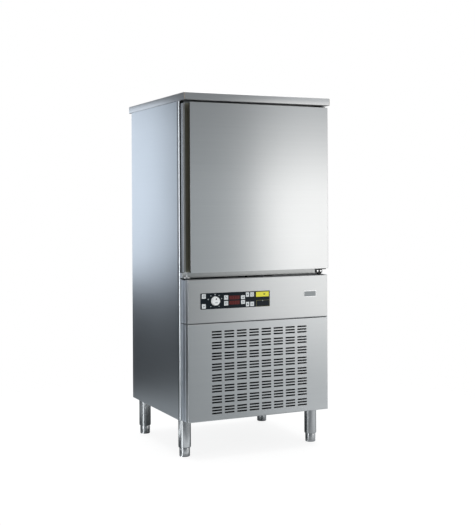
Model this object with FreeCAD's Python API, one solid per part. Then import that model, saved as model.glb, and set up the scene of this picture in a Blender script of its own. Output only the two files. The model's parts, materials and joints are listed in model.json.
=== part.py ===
"""Blast chiller on adjustable legs: foamed cabinet, right-hinged door, refrigeration unit below.

Millimetres. X runs to the right seen from the front, the front faces -Y, and Z is up from the
floor. The origin is the middle of the footprint, on the floor.
"""
import FreeCAD, Part
import math
import os
from FreeCAD import Vector

# ------------------------------------------------------------------ the whole machine
height = 1656.0            # floor to worktop surface
worktop_width = 750.0
worktop_depth = 750.0
worktop_thick = 34.0
worktop_edge = 2.5         # bend of its upper and lower edges; its corners are welded sharp
worktop_hem = 18.0         # folded-in edge underneath
worktop_recess = 3.0       # board face above the hem
door_proud = 16.0          # door face in front of the worktop's edge
body_inset = 2.0           # cabinet side in from the worktop's edge
body_back_inset = 34.0     # cabinet back in from the worktop's back edge
leg_height = 175.0         # floor to the cabinet's lower edge
sheet = 1.0                # stainless sheet of all panels
bend = 1.5                 # inside radius of a plain fold
wall = 60.0                # foamed wall with both its skins

# ------------------------------------------------------------------ cabinet shell
side_corner = 12.0         # rounded front corner of a side panel
front_return = 25.0        # its fold across the front
back_return = 15.0         # its fold across the back
breaker_width = 12.0       # plastic profile round the chamber mouth
breaker_depth = 25.0
liner_corner = 20.0        # coved edges of the chamber, front to back
back_clear = 0.5           # rear sheets to the side panels' folds
drain_dia = 25.0
drain_fit = 0.5

# ------------------------------------------------------------------ door
door_side_inset = 19.0     # front face in from the cabinet side
door_step = 12.0           # the rear half is this much wider on each side
door_thick = 80.0
door_top_gap = 12.0
door_bottom_gap = 31.5
door_bend = 4.0            # front edges
door_rear_depth = 41.0     # rear half of the door, behind the grip
liner_rim = 14.0           # inner pan folded forward round the door's back edge
grip_lip = 12.0            # front edge that the fingers close on
grip_depth = 32.0          # channel, from the front skin's edge inwards
grip_round = 11.0          # its rounded bottom corners
liner_raise = 8.0          # pressed field on the door's inside
liner_raise_inset = 25.0   # field in from the chamber's walls
gasket_gap = 12.0          # door's inner face to the cabinet front
gasket_play = 0.3          # magnet face to the cabinet front
gasket_width = 18.0
gasket_foot = 5.0          # height of its foot, clipped on the door
gasket_head = 11.0         # width of its magnet head
gasket_inset = 4.0         # in from the door's top and bottom edges
gasket_side_inset = 20.0   # in from the rear half's side edges
gasket_corner = 14.0

# ------------------------------------------------------------------ hinges
hinge_from_side = 21.0     # hinge line in from the cabinet side
hinge_from_back = 24.0     # hinge line in front of the door's back face
bracket_width = 36.0
bracket_thick = 4.0
bracket_play = 3.0         # between a bracket arm and the door
pin_dia = 10.0
pin_fit = 0.08             # radial, pin in bush
pin_reach = 18.0           # pin inside the door
bush_dia = 18.0
bush_depth = 22.0
bush_rim_dia = 28.0
bush_rim_play = 0.3        # bush rim to bracket arm
lower_plate_height = 23.0  # upright leaf on the cabinet front
spare_ear = 28.0           # folded ear of the spare bracket, front to back
dome_dia = 10.0            # dome nut that fills the spare pin hole
dome_height = 9.0

# ------------------------------------------------------------------ lower front
panel_set_back = 22.0      # control and grille panels behind the door face
panel_side_inset = 13.0    # panels in from the cabinet side
panel_depth = 30.0
panel_bend = 4.0           # front edges
panel_back_bend = 2.5
panel_lip = 12.0           # rear fold that meets the posts
panel_seam = 2.0
grille_height = 440.0
control_height = 199.5
box_slit = 4.0             # control panel's top edge to the foamed box
post_flange = 25.0
post_side = 2.0            # post web outside the panel's edge

slot_columns = 8
slot_groups = 8
slots_in_group = 3
slot_width = 49.0
slot_height = 7.0
slot_pitch = 13.0          # within a group
slots_side = 115.7         # first and last columns in from the panel's sides
slots_bottom = 29.5        # first slot's lower edge above the panel's
slots_top = 34.5           # last slot's upper edge below the panel's

# ------------------------------------------------------------------ controls
overlay_from_side = 235.5  # middle of the display overlay in from the panel's left side
overlay_width = 349.0
overlay_height = 72.5
overlay_thick = 1.5
overlay_corner = 3.0
overlay_rim = 2.0          # glued border round the opening behind it
key_play = 0.25            # round each cap
key_rise = 1.0             # cap above the overlay
key_travel = 0.6
key_rim = 1.0              # flange that keeps the cap behind the overlay
key_rim_thick = 1.0
key_seat = 0.1             # flange behind the overlay
key_margin = 0.3           # left below a pressed key
key_edge = 0.5
# column, middle from the overlay's middle, cap width, cap height, rows apart
key_columns = (
    ("far_left", -158.9, 19.0, 20.5, 45.0),
    ("left", -48.5, 20.0, 20.0, 26.0),
    ("middle", 36.5, 19.5, 17.5, 22.0),
    ("right", 59.7, 16.5, 20.5, 44.0),
    ("far_right", 83.0, 19.0, 20.5, 44.0),
)
window_x = -6.6            # red windows, middle from the overlay's middle
window_width = 53.3
window_height = 17.8
window_pitch = 22.8
knob_x = -103.1            # from the overlay's middle
knob_dia = 41.0
knob_top_dia = 38.0
knob_height = 14.0
knob_skirt = 3.0           # height of its wider skirt
knob_play = 0.5            # knob above the overlay
knob_index_dia = 4.0
knob_index_depth = 0.6
knob_index_out = 14.0      # index dot from the knob's middle
knob_shaft_dia = 6.0
knob_shaft_depth = 12.0
board_thick = 22.0
encoder_dia = 24.0
encoder_depth = 10.0

# ------------------------------------------------------------------ legs and feet
leg_from_side = 43.0
leg_from_front = 51.0
leg_from_back = 61.0
leg_dia = 58.0
leg_plate = 80.0           # square plate welded on its top
leg_plate_thick = 3.0
leg_taper = 3.0            # drawn-in lower end
leg_taper_height = 4.5
foot_dia = 49.0
foot_height = 41.0         # shown below the leg
foot_play = 0.3            # foot's shoulder to the leg's end
foot_stem_dia = 16.0
foot_stem_gap = 24.0       # stem's end below the leg's top
stem_fit = 0.1

# ------------------------------------------------------------------ chassis and rear
floor_thick = 2.0
floor_rim = 30.0
floor_vents = 6
floor_vent_length = 110.0
floor_vent_width = 10.0
floor_vent_pitch = 40.0
floor_vent_y = 70.0
vent_rows = 8
vent_columns = 3
vents_side = 100.0         # vents in from the rear panel's sides
vent_gap = 50.0            # between columns
vent_height = 8.0
vent_pitch = 40.0
vents_bottom = 120.0

# ------------------------------------------------------------------ chamber fittings
rack_side_gap = 44.5       # chamber wall to the uprights, which leaves 537 mm for trays
rack_cowl_gap = 19.3       # rear bars in front of the fan cowl
runner_width = 15.5        # flat bars that carry the trays
runner_thick = 3.0
first_runner = 45.0        # above the chamber floor
runner_pitch = 65.0
rack_headroom = 45.0       # above the top runner
rack_bar = 12.0
rack_front = 46.0          # front bars behind the cabinet front
rack_foot_gap = 12.0       # bars above the chamber floor
cowl_side_gap = 23.0       # chamber wall to the fan cowl
cowl_depth = 190.0         # fan cowl in front of the rear wall
cowl_gap = 40.0            # above the floor, for the returning air
cowl_slots = 4
cowl_slot_height = 90.0
cowl_slot_depth = 110.0
fan_low, fan_high = 0.26, 0.74     # fans' places in the height from the cowl's foot to the roof
fan_hole_share = 0.396     # hole in the same height
fan_tip_play = 5.0         # blade tips to the hole's edge
fan_hub_dia = 70.0
fan_hub_length = 30.0
fan_blades = 5
fan_pitch_angle = 24.0
blade_thick = 2.0
blade_sink = 4.0           # blade root inside the hub
blade_root = 0.55          # root's width, as a share of the hub's diameter
blade_tip = 20.0           # half angle of the tip, as seen from the hub
fan_back = 8.0             # blades behind the cowl sheet
fan_motor_dia = 88.0
fan_motor_length = 50.0
fan_shaft_dia = 10.0
fan_shaft_depth = 15.0
spider_bar = 12.0
spider_thick = 3.0
guard_bar = 3.0
guard_lap = 3.0            # outer ring past the hole's edge
guard_rings = 2
guard_side_count = 24      # flat sides of a ring
guard_hub_dia = 44.0
coil_side_gap = 60.0       # coil in from the cowl's sides
coil_depth = 70.0
coil_side = 2.0
coil_fin_pitch = 15.0
coil_fin_gap = 12.0
coil_fin_depth = 58.0
coil_floor_gap = 45.0      # above the drip tray's floor
drip_height = 25.0
drip_side = 20.0           # tray wider than the coil on each side
drip_depth = 84.0
drip_spout = 25.0          # spout below the foamed box
spout_wall = 2.0
gland_dia = 18.0
gland_length = 12.0

# ------------------------------------------------------------------ refrigeration unit
condenser_side_gap = 143.0 # core in from the cabinet sides
condenser_drop = 50.0      # core lower than the grille panel
condenser_depth = 66.0
condenser_lift = 22.0      # core above the chassis floor
condenser_from_panel = 4.0 # behind the panels' rear folds
condenser_fin_pitch = 11.5
condenser_fin_gap = 9.5
condenser_fin_depth = 54.0
condenser_side = 3.0
shroud_depth = 50.0
shroud_sheet = 1.5
shroud_ring = 30.0
unit_fan_margin = 30.0     # blade tips in from the core's top and bottom
unit_fan_play = 6.0        # blade tips to the shroud ring
unit_fan_hub_dia = 80.0
unit_fan_hub_length = 34.0
unit_motor_dia = 95.0
unit_motor_length = 70.0
unit_stand_width = 70.0
unit_stand_thick = 4.0
compressor_from_side = 198.0
compressor_from_back = 199.0
compressor_dia = 190.0
compressor_height = 230.0
compressor_cap = 20.0      # pressed cap on its top, this much narrower all round and as high
discharge_height = 138.0   # discharge stub above the can's foot
compressor_foot_x = 230.0
compressor_foot_y = 180.0
compressor_foot_thick = 4.0
mount_dia = 26.0
mount_height = 15.0
receiver_from_side = 173.0
receiver_from_back = 259.0
receiver_dia = 90.0
receiver_height = 230.0
receiver_cap = 9.0
receiver_stub_height = 40.0
pipe_dia = 12.0
pipe_side_count = 12       # flat sides of a pipe
pipe_corner = 18.0         # cut off each corner of a pipe's run
pipe_loop = 105.0          # pipes' outer turns from the compressor's and receiver's middles
pipe_clear = 60.0          # discharge pipe behind the fan shroud
stub_dia = 16.0
stub_length = 14.0
dryer_dia = 40.0
dryer_length = 110.0
dryer_cone = 18.0
ebox_width = 240.0
ebox_depth = 85.0
ebox_height = 170.0
ebox_from_side = 48.0
ebox_from_panel = 12.0     # behind the panels' rear folds
ebox_lid = 12.0
mains_gland_from_side = 60.0
mains_gland_z = 250.0
mains_gland_dia = 28.0
mains_gland_length = 20.0
mains_nut_length = 8.0
mains_nose_dia = 22.4
mains_bore_dia = 12.0

# ------------------------------------------------------------------ screws
screw_head_dia = 9.0       # across the corners of its six sides
screw_head = 2.5
screw_dia = 5.0
screw_length = 8.0
screw_from_edge = 16.0
bracket_screws_apart = 18.0
bracket_screw_height = 9.2 # above the leaf's lower edge

# ------------------------------------------------------------------ places worked out
y_door = -(worktop_depth + door_proud) / 2
y_back = -y_door
y_worktop = y_door + door_proud
y_door_back = y_door + door_thick
y_body = y_door_back + gasket_gap
y_body_back = y_back - body_back_inset
y_panel = y_door + panel_set_back
y_panel_back = y_panel + panel_depth
x_side = worktop_width / 2 - body_inset
z_top = height - worktop_thick
z_base = leg_height
z_floor = z_base + leg_plate_thick
z_control = z_base + grille_height + panel_seam
z_panel_top = z_control + control_height
z_box = z_panel_top + box_slit
z_door = z_panel_top + door_bottom_gap
z_door_top = z_top - door_top_gap
x_chamber = x_side - wall
y_chamber_back = y_body_back - wall
z_chamber = z_box + wall
z_chamber_top = z_top - wall
x_front = x_side - door_side_inset
x_rear = x_front + door_step
hinge_x = x_side - hinge_from_side
hinge_y = y_door_back - hinge_from_back
x_panel = x_side - panel_side_inset
x_post = x_panel + post_side
overlay_x = overlay_from_side - x_panel
z_overlay = z_control + control_height / 2
y_overlay = y_panel - overlay_thick
y_board = y_panel + key_seat + key_rim_thick + key_travel + key_margin
y_cowl = y_chamber_back - cowl_depth
z_cowl = z_chamber + cowl_gap
fan_heights = [z_cowl + (z_chamber_top - z_cowl) * share for share in (fan_low, fan_high)]
fan_hole_dia = (z_chamber_top - z_cowl) * fan_hole_share
fan_dia = fan_hole_dia - 2 * fan_tip_play
x_cowl = x_chamber - cowl_side_gap
x_coil = x_cowl - coil_side_gap
y_condenser = y_panel_back + condenser_from_panel
y_shroud = y_condenser + condenser_depth
y_ring = y_shroud + shroud_depth
x_core = x_side - condenser_side_gap
z_deck = z_floor + floor_thick
z_core = z_deck + condenser_lift
condenser_height = grille_height - condenser_drop
z_core_top = z_core + condenser_height
z_unit_fan = (z_core + z_core_top) / 2
unit_fan_dia = condenser_height - 2 * unit_fan_margin
compressor_x, compressor_y = x_side - compressor_from_side, y_body_back - compressor_from_back
receiver_x, receiver_y = receiver_from_side - x_side, y_body_back - receiver_from_back

UP = Vector(0, 0, 1)
BACK = Vector(0, 1, 0)
RIGHT = Vector(1, 0, 0)
overlap = 1.0              # how far a cutting tool runs past the face it opens


# ------------------------------------------------------------------ ways of making things
def block(x0, x1, y0, y1, z0, z1):
    """A block between two corners."""
    return Part.makeBox(x1 - x0, y1 - y0, z1 - z0, Vector(x0, y0, z0))


def rod(diameter, length, base, axis=UP):
    return Part.makeCylinder(diameter / 2, length, base, axis)


def fused(*shapes):
    """One solid of several that touch or cross."""
    return shapes[0].fuse(list(shapes[1:])).removeSplitter()


def fillet(shape, radius, pick):
    """Rounds the edges that pick accepts."""
    return shape.makeFillet(radius, [edge for edge in shape.Edges if pick(edge)])


def broken(shape, size, pick):
    """Breaks the edges that pick accepts with a small flat."""
    return shape.makeChamfer(size, [edge for edge in shape.Edges if pick(edge)])


def ends(edge, axis):
    """Both end coordinates of an edge along x, y or z."""
    return [getattr(vertex.Point, axis) for vertex in edge.Vertexes]


def at(edge, axis, value):
    """True where the whole edge lies at one coordinate."""
    return all(abs(c - value) < 1e-6 for c in ends(edge, axis))


def upright(edge):
    low, high = min(ends(edge, "z")), max(ends(edge, "z"))
    return high - low > 1e-6


def rounded_block(x0, x1, y0, y1, z0, z1, radius):
    """A block with rounded upright edges."""
    return fillet(block(x0, x1, y0, y1, z0, z1), radius, upright)


def window_block(x0, x1, y0, y1, z0, z1, radius):
    """A block with the four edges that run along Y rounded."""
    return fillet(block(x0, x1, y0, y1, z0, z1), radius, lambda e: not at(e, "y", y0) and not at(e, "y", y1))


def rounded_run(points, radii):
    """Edges of a line through the points. Each inner corner is rounded by its radius, or sharp at 0."""
    edges = []
    start = points[0]
    for before, corner, after, radius in zip(points, points[1:], points[2:], radii):
        if not radius:
            edges.append(Part.LineSegment(start, corner).toShape())
            start = corner
            continue
        back = (before - corner).normalize()
        ahead = (after - corner).normalize()
        half = back.getAngle(ahead) / 2
        reach = radius / math.tan(half)
        middle = (back + ahead).normalize() * (radius / math.sin(half) - radius)
        first, last = corner + back * reach, corner + ahead * reach
        edges.append(Part.LineSegment(start, first).toShape())
        edges.append(Part.Arc(first, corner + middle, last).toShape())
        start = last
    edges.append(Part.LineSegment(start, points[-1]).toShape())
    return edges


def rounded_face(points, radii):
    """A flat face inside a closed line through the points, with a radius for each corner."""
    start = (points[-1] + points[0]) * 0.5
    return Part.Face(Part.Wire(rounded_run([start] + points + [start], radii)))


def folded(outline, z0, z1, thick=sheet, radius=bend, first_radius=None):
    """A sheet folded along upright bends. The outline follows its outer face, seen from above with
    the sheet on the left of the run. radius is the inside radius of the folds."""
    points = [Vector(x, y, z0) for x, y in outline]
    along = [(b - a).normalize() for a, b in zip(points, points[1:])]
    left = [Vector(-d.y, d.x, 0) for d in along]
    inner = [points[0] + left[0] * thick]
    outer_radii, inner_radii = [], []
    for point, one, two, n1, n2 in zip(points[1:], along, along[1:], left, left[1:]):
        inner.append(point + (n1 + n2) * (thick / (1 + n1.dot(n2))))
        turns_left = one.cross(two).z > 0
        outer_radii.append(radius + thick if turns_left else radius)
        inner_radii.append(radius if turns_left else radius + thick)
    if first_radius:
        outer_radii[0], inner_radii[0] = first_radius, first_radius - thick
    inner.append(points[-1] + left[-1] * thick)
    edges = rounded_run(points, outer_radii)
    edges.append(Part.LineSegment(points[-1], inner[-1]).toShape())
    edges += rounded_run(inner, inner_radii)
    edges.append(Part.LineSegment(points[0], inner[0]).toShape())
    wire = Part.Wire(Part.__sortEdges__(edges))
    return Part.Face(wire).extrude(UP * (z1 - z0))


def turned(profile, x=0.0, y=0.0):
    """A solid of revolution about an upright axis. The profile is (radius, height)."""
    points = [Vector(x + radius, y, z) for radius, z in profile]
    face = Part.Face(Part.makePolygon(points + points[:1]))
    return face.revolve(Vector(x, y, 0), UP, 360).removeSplitter()


def capped(diameter, z0, z1, cap, x, y):
    """An upright can under a narrower cap, as high as it is narrower all round."""
    wide, narrow = diameter / 2, diameter / 2 - cap
    profile = [(0, z0), (wide, z0), (wide, z1 - cap), (narrow, z1 - cap), (narrow, z1), (0, z1)]
    return turned(profile, x, y)


def flat_ring(diameter, base, axis, sides):
    """A many-sided line round an axis, its diameter across the corners."""
    side = Vector(-axis.y, axis.x, 0) if axis.z == 0 else RIGHT
    up = axis.cross(side)
    turns = [math.radians(360 * i / sides) for i in range(sides)]
    corners = [base + (side * math.cos(turn) + up * math.sin(turn)) * (diameter / 2) for turn in turns]
    return Part.makePolygon(corners + corners[:1])


def flat_sided(diameter, length, base, axis, sides=6):
    """A bar with flat sides, its diameter across the corners."""
    return Part.Face(flat_ring(diameter, base, axis, sides)).extrude(axis * length)


def tube(points, diameter, corner):
    """A pipe along a line through the points, each corner turned by two mitred elbows."""
    line = [points[0]]
    for before, turn, after in zip(points, points[1:], points[2:]):
        line.append(turn + (before - turn).normalize() * corner)
        line.append(turn + (after - turn).normalize() * corner)
    line.append(points[-1])
    ring = flat_ring(diameter, points[0], (points[1] - points[0]).normalize(), pipe_side_count)
    mitred = 1
    return Part.makePolygon(line).makePipeShell([ring], True, False, mitred)




def comb(x0, x1, y0, y1, z0, z1, pitch, gap, depth):
    """A finned core: a block whose front face is cut into upright fins."""
    grooves = int((x1 - x0 - gap) / pitch)
    start = (x0 + x1 - (grooves - 1) * pitch - gap) / 2
    outline = [(x0, y1), (x0, y0)]
    for groove in range(grooves):
        left = start + groove * pitch
        outline += [(left, y0), (left, y0 + depth), (left + gap, y0 + depth), (left + gap, y0)]
    outline += [(x1, y0), (x1, y1), (x0, y1)]
    face = Part.Face(Part.makePolygon([Vector(x, y, z0) for x, y in outline]))
    return face.extrude(UP * (z1 - z0))


def impeller(diameter, hub_dia, hub_length, x, y, z, shaft):
    """An axial fan on a Y axis: hub, pitched sheet blades that widen outwards, and its shaft."""
    half_root = hub_dia * blade_root / 2
    root = hub_dia / 2 - blade_sink
    outline = [Vector(half_root, 0, root), Vector(-half_root, 0, root)]
    for share in (-1, -1 / 3, 1 / 3, 1):
        turn = math.radians(blade_tip * share)
        outline.append(Vector(math.sin(turn), 0, math.cos(turn)) * (diameter / 2))
    blade = Part.Face(Part.makePolygon(outline + outline[:1])).extrude(BACK * blade_thick)
    blade.translate(BACK * (hub_length - blade_thick) / 2)
    blade.rotate(BACK * (hub_length / 2), UP, fan_pitch_angle)
    hub = rod(hub_dia, hub_length, Vector(0, 0, 0), BACK)
    parts = [hub, rod(fan_shaft_dia, shaft, BACK * hub_length, BACK)]
    for place in range(fan_blades):
        turned_blade = blade.copy()
        turned_blade.rotate(Vector(0, 0, 0), BACK, place * 360 / fan_blades)
        parts.append(turned_blade)
    wheel = fused(*parts)
    wheel.translate(Vector(x, y, z))
    return wheel


def mirrored(shape):
    """The same piece on the other side of the machine."""
    return shape.mirror(Vector(0, 0, 0), RIGHT)


def save(node, *solids):
    """Writes one node as a STEP file."""
    shape = solids[0] if len(solids) == 1 else Part.makeCompound(list(solids))
    shape.exportStep("parts/" + node + ".step")


os.makedirs("parts", exist_ok=True)

# ------------------------------------------------------------------ screws, and the holes for them
x_vent_panel = x_side - back_return - back_clear
z_vent_panel = z_box - panel_seam
rear_screws = [
    (Vector(x, y_body_back, z), BACK)
    for x in (-x_vent_panel + screw_from_edge, x_vent_panel - screw_from_edge)
    for z in (z_floor + screw_from_edge, (z_floor + z_vent_panel) / 2, z_vent_panel - screw_from_edge)
]
z_lower_arm = z_door - bracket_play - bracket_thick
z_lower_plate = z_lower_arm + bracket_thick - lower_plate_height
z_upper_arm = z_door_top + bracket_play
z_upper_plate = z_door_top - gasket_inset + gasket_play
bracket_screws = [
    (Vector(side * hinge_x + shift, y_body - bracket_thick, z_lower_plate + bracket_screw_height), -BACK)
    for side in (1, -1)
    for shift in (-bracket_screws_apart / 2, bracket_screws_apart / 2)
]


def shank(seat, out):
    """A screw's thread-forming shank, from the seat inwards."""
    return flat_sided(screw_dia, screw_length, seat - out * screw_length, out)


all_screws = rear_screws + bracket_screws
shanks = Part.makeCompound([shank(seat, out) for seat, out in all_screws])
save("screws", *[
    fused(flat_sided(screw_head_dia, screw_head, seat, out), shank(seat, out)) for seat, out in all_screws
])

# ------------------------------------------------------------------ worktop
# a sheet folded down all round over a board, with its edge folded in again underneath
def slab(inset):
    """The worktop's outside, drawn in by a skin."""
    half = worktop_width / 2 - inset
    form = block(-half, half, y_worktop + inset, y_back - inset, z_top + inset, height - inset)
    return fillet(form, worktop_edge - inset, lambda e: not upright(e))


inside_hem = worktop_width / 2 - worktop_hem
within_hem = block(
    -inside_hem, inside_hem, y_worktop + worktop_hem, y_back - worktop_hem,
    z_top - overlap, z_top + worktop_recess,
)
seat = block(-inside_hem, inside_hem, y_body, y_body_back, z_top, z_top + worktop_recess)
save("worktop", slab(0).cut([slab(sheet), within_hem]))
save("worktop_board", fused(slab(sheet).cut(within_hem), seat))

# ------------------------------------------------------------------ side panels
# one sheet from the legs to the worktop, rounded at the front and folded across front and back
side_panel = folded(
    [
        (x_side - front_return, y_body), (x_side, y_body),
        (x_side, y_body_back), (x_side - back_return, y_body_back),
    ],
    z_base, z_top, first_radius=side_corner,
)
side_panel = side_panel.cut(shanks)
save("side_panel_right", side_panel)
save("side_panel_left", mirrored(side_panel))


def inside_shell(z0, z1):
    """What fits inside the side panels' folds, front to back."""
    form = block(-x_side + sheet, x_side - sheet, y_body + sheet, y_body_back - sheet, z0, z1)
    form = fillet(form, side_corner - sheet, lambda e: upright(e) and at(e, "y", y_body + sheet))
    return fillet(form, bend, lambda e: upright(e) and at(e, "y", y_body_back - sheet))


# ------------------------------------------------------------------ foamed box
def chamber_form(grow):
    """The chamber's space behind the breaker profile, with coved edges, grown by a skin."""
    return window_block(
        -x_chamber - grow, x_chamber + grow, y_body + breaker_depth, y_chamber_back + grow,
        z_chamber - grow, z_chamber_top + grow, liner_corner + grow,
    )


def mouth_form(grow, y0, y1):
    """The chamber mouth, grown by the breaker profile's width."""
    return window_block(
        -x_chamber - grow, x_chamber + grow, y0, y1,
        z_chamber - grow, z_chamber_top + grow, liner_corner + grow,
    )


y_drip = y_chamber_back - liner_corner - drip_depth / 2
drain_hole = rod(
    drain_dia + 2 * drain_fit, z_chamber - z_box + 2 * drip_spout, Vector(0, y_drip, z_box - drip_spout)
)
breaker_outer = mouth_form(breaker_width, y_body, y_body + breaker_depth)
save("breaker_frame", breaker_outer.cut(mouth_form(0, y_body - overlap, y_body + breaker_depth + overlap)))
save("chamber_liner", chamber_form(sheet).cut(chamber_form(0)).cut(drain_hole))
front_frame = block(
    -x_side + front_return, x_side - front_return, y_body, y_body + sheet, z_box, z_top
)
save("front_frame", front_frame.cut(breaker_outer).cut(shanks))
foam = inside_shell(z_box + sheet, z_top)
save("insulation", foam.cut([chamber_form(sheet), breaker_outer, drain_hole, shanks]))
back_sheet = block(-x_vent_panel, x_vent_panel, y_body_back - sheet, y_body_back, z_box, z_top)
save("back_panel", fused(inside_shell(z_box, z_box + sheet), back_sheet).cut(drain_hole))

# ------------------------------------------------------------------ chassis
tray = inside_shell(z_floor, z_floor + floor_rim)
hollow = block(
    -x_side + sheet + floor_thick, x_side - sheet - floor_thick,
    y_body + sheet + floor_thick, y_body_back - sheet - floor_thick,
    z_floor + floor_thick, z_floor + floor_rim + overlap,
)
tongue_half = x_post - post_flange
tongue = block(-tongue_half, tongue_half, y_panel_back, y_body + 2 * sheet, z_floor, z_floor + floor_thick)
way_through = block(
    -tongue_half, tongue_half, y_body, y_body + sheet + floor_thick + overlap,
    z_floor + floor_thick, z_floor + floor_rim + overlap,
)
vents = [
    block(
        side * leg_plate / 2 + min(0, side) * floor_vent_length,
        side * leg_plate / 2 + max(0, side) * floor_vent_length,
        floor_vent_y + row * floor_vent_pitch, floor_vent_y + row * floor_vent_pitch + floor_vent_width,
        z_floor - overlap, z_floor + floor_thick + overlap,
    )
    for side in (-1, 1)
    for row in range(-floor_vents // 2, floor_vents // 2)
]
save("base_chassis", fused(tray.cut(hollow), tongue).cut([way_through, shanks] + vents))

post = folded(
    [
        (x_post - post_flange, y_panel_back), (x_post, y_panel_back),
        (x_post, y_body), (x_side - front_return, y_body),
    ],
    z_base, z_panel_top,
)
save("front_posts", post, mirrored(post))

rear_panel = block(-x_vent_panel, x_vent_panel, y_body_back - sheet, y_body_back, z_floor, z_vent_panel)
x_vents = x_vent_panel - vents_side
vent_length = (2 * x_vents - (vent_columns - 1) * vent_gap) / vent_columns
vent_lefts = [column * (vent_length + vent_gap) - x_vents for column in range(vent_columns)]
vent_feet = [z_base + vents_bottom + row * vent_pitch for row in range(vent_rows)]
louvres = [
    block(x, x + vent_length, y_body_back - sheet - overlap, y_body_back + overlap, z, z + vent_height)
    for x in vent_lefts
    for z in vent_feet
]
mains_at = Vector(mains_gland_from_side - x_side, y_body_back, z_base + mains_gland_z)
mains_bore = rod(mains_bore_dia, 3 * mains_gland_length, mains_at - BACK * mains_gland_length, BACK)
save("rear_vent_panel", rear_panel.cut(louvres + [mains_bore, shanks]))

# ------------------------------------------------------------------ legs and screw feet
leg_r, foot_r, stem_r = leg_dia / 2, foot_dia / 2, foot_stem_dia / 2
leg_spots = {
    side_name + "_" + hand: (x, y)
    for side_name, y in (("front", y_body + leg_from_front), ("rear", y_body_back - leg_from_back))
    for hand, x in (("left", -x_side + leg_from_side), ("right", x_side - leg_from_side))
}


def leg(x, y):
    """A leg with a drawn-in end and a threaded core for the foot, under the plate welded on its top."""
    pipe = turned(
        [
            (stem_r + stem_fit, foot_height), (leg_r - leg_taper, foot_height),
            (leg_r, foot_height + leg_taper_height), (leg_r, z_base), (stem_r + stem_fit, z_base),
        ],
        x, y,
    )
    half = leg_plate / 2
    return fused(pipe, block(x - half, x + half, y - half, y + half, z_base, z_floor))


def foot(x, y):
    """A cup-shaped foot turned in one piece with its screw stem."""
    shoulder, stem_top = foot_height - foot_play, z_base - foot_stem_gap
    return turned(
        [
            (0, 0), (foot_r, 0), (foot_r, shoulder),
            (stem_r, shoulder), (stem_r, stem_top), (0, stem_top),
        ],
        x, y,
    )


save("leg_tubes", *[leg(x, y) for x, y in leg_spots.values()])
for spot, (x, y) in leg_spots.items():
    save("foot_" + spot, foot(x, y))


# ------------------------------------------------------------------ lower front panels
def front_pan(z0, z1):
    """A pan folded back on four sides, with its side edges folded in again onto the posts."""
    half = x_panel
    outer = block(-half, half, y_panel, y_panel_back, z0, z1)
    outer = fillet(outer, panel_bend, lambda e: at(e, "y", y_panel))
    outer = fillet(outer, panel_back_bend, lambda e: at(e, "y", y_panel_back) and upright(e))
    half, y0, y1, z0, z1 = half - sheet, y_panel + sheet, y_panel_back - sheet, z0 + sheet, z1 - sheet
    inner = block(-half, half, y0, y1, z0, z1)
    inner = fillet(inner, panel_bend - sheet, lambda e: at(e, "y", y0))
    inner = fillet(inner, panel_back_bend - sheet, lambda e: at(e, "y", y1) and upright(e))
    inside = half + sheet - panel_lip
    return outer.cut([inner, block(-inside, inside, y1 - overlap, y_panel_back + overlap, z0, z1)])


x_first_slot = slots_side - x_panel
slot_pitch_x = (-2 * x_first_slot - slot_width) / (slot_columns - 1)
group_height = (slots_in_group - 1) * slot_pitch + slot_height
group_pitch = (grille_height - slots_bottom - slots_top - group_height) / (slot_groups - 1)
slots = [
    block(
        x_first_slot + column * slot_pitch_x, x_first_slot + column * slot_pitch_x + slot_width,
        y_panel - overlap, y_panel + sheet + overlap,
        z_base + slots_bottom + group * group_pitch + row * slot_pitch,
        z_base + slots_bottom + group * group_pitch + row * slot_pitch + slot_height,
    )
    for column in range(slot_columns)
    for group in range(slot_groups)
    for row in range(slots_in_group)
]
save("grille_panel", front_pan(z_base, z_base + grille_height).cut(Part.makeCompound(slots)))


def on_overlay(x, z, width, height, y0, y1):
    """A block placed from the overlay's middle."""
    x, z = overlay_x + x, z_overlay + z
    return block(x - width / 2, x + width / 2, y0, y1, z - height / 2, z + height / 2)


opening_width, opening_height = overlay_width - 2 * overlay_rim, overlay_height - 2 * overlay_rim
panel_opening = on_overlay(0, 0, opening_width, opening_height, y_panel - overlap, y_panel + 2 * sheet)
save("control_panel", front_pan(z_control, z_panel_top).cut(panel_opening))

# ------------------------------------------------------------------ display, keys and knob
windows = [
    on_overlay(window_x, row * window_pitch / 2, window_width, window_height, y_overlay, y_panel)
    for row in (-1, 1)
]
save("display_windows", *windows)

knob_at = Vector(overlay_x + knob_x, y_overlay - knob_play, z_overlay)
shaft_bore = rod(
    knob_shaft_dia + 2 * pin_fit, y_board + knob_shaft_depth + knob_play - knob_at.y, knob_at, BACK
)
overlay = on_overlay(0, 0, overlay_width, overlay_height, y_overlay, y_panel)
overlay = fillet(overlay, overlay_corner, lambda e: not at(e, "y", y_overlay) and not at(e, "y", y_panel))
y_before, y_behind = y_overlay - overlap, y_panel + overlap
key_holes = [
    on_overlay(x, row * apart / 2, width + 2 * key_play, high + 2 * key_play, y_before, y_behind)
    for _, x, width, high, apart in key_columns
    for row in (-1, 1)
]
shaft_way = rod(knob_shaft_dia + 2 * knob_play, overlay_thick + 2 * overlap, knob_at - BACK * overlap, BACK)
save("display_overlay", overlay.cut(windows + key_holes + [shaft_way]))

for column, x, width, high, apart in key_columns:
    for row_name, row in (("upper", 1), ("lower", -1)):
        cap = on_overlay(x, row * apart / 2, width, high, y_overlay - key_rise, y_panel + key_seat)
        cap = broken(cap, key_edge, lambda e: at(e, "y", y_overlay - key_rise))
        rim = on_overlay(
            x, row * apart / 2, width + 2 * key_rim, high + 2 * key_rim,
            y_panel + key_seat, y_panel + key_seat + key_rim_thick,
        )
        save("key_" + column + "_" + row_name, fused(cap, rim))

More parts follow.
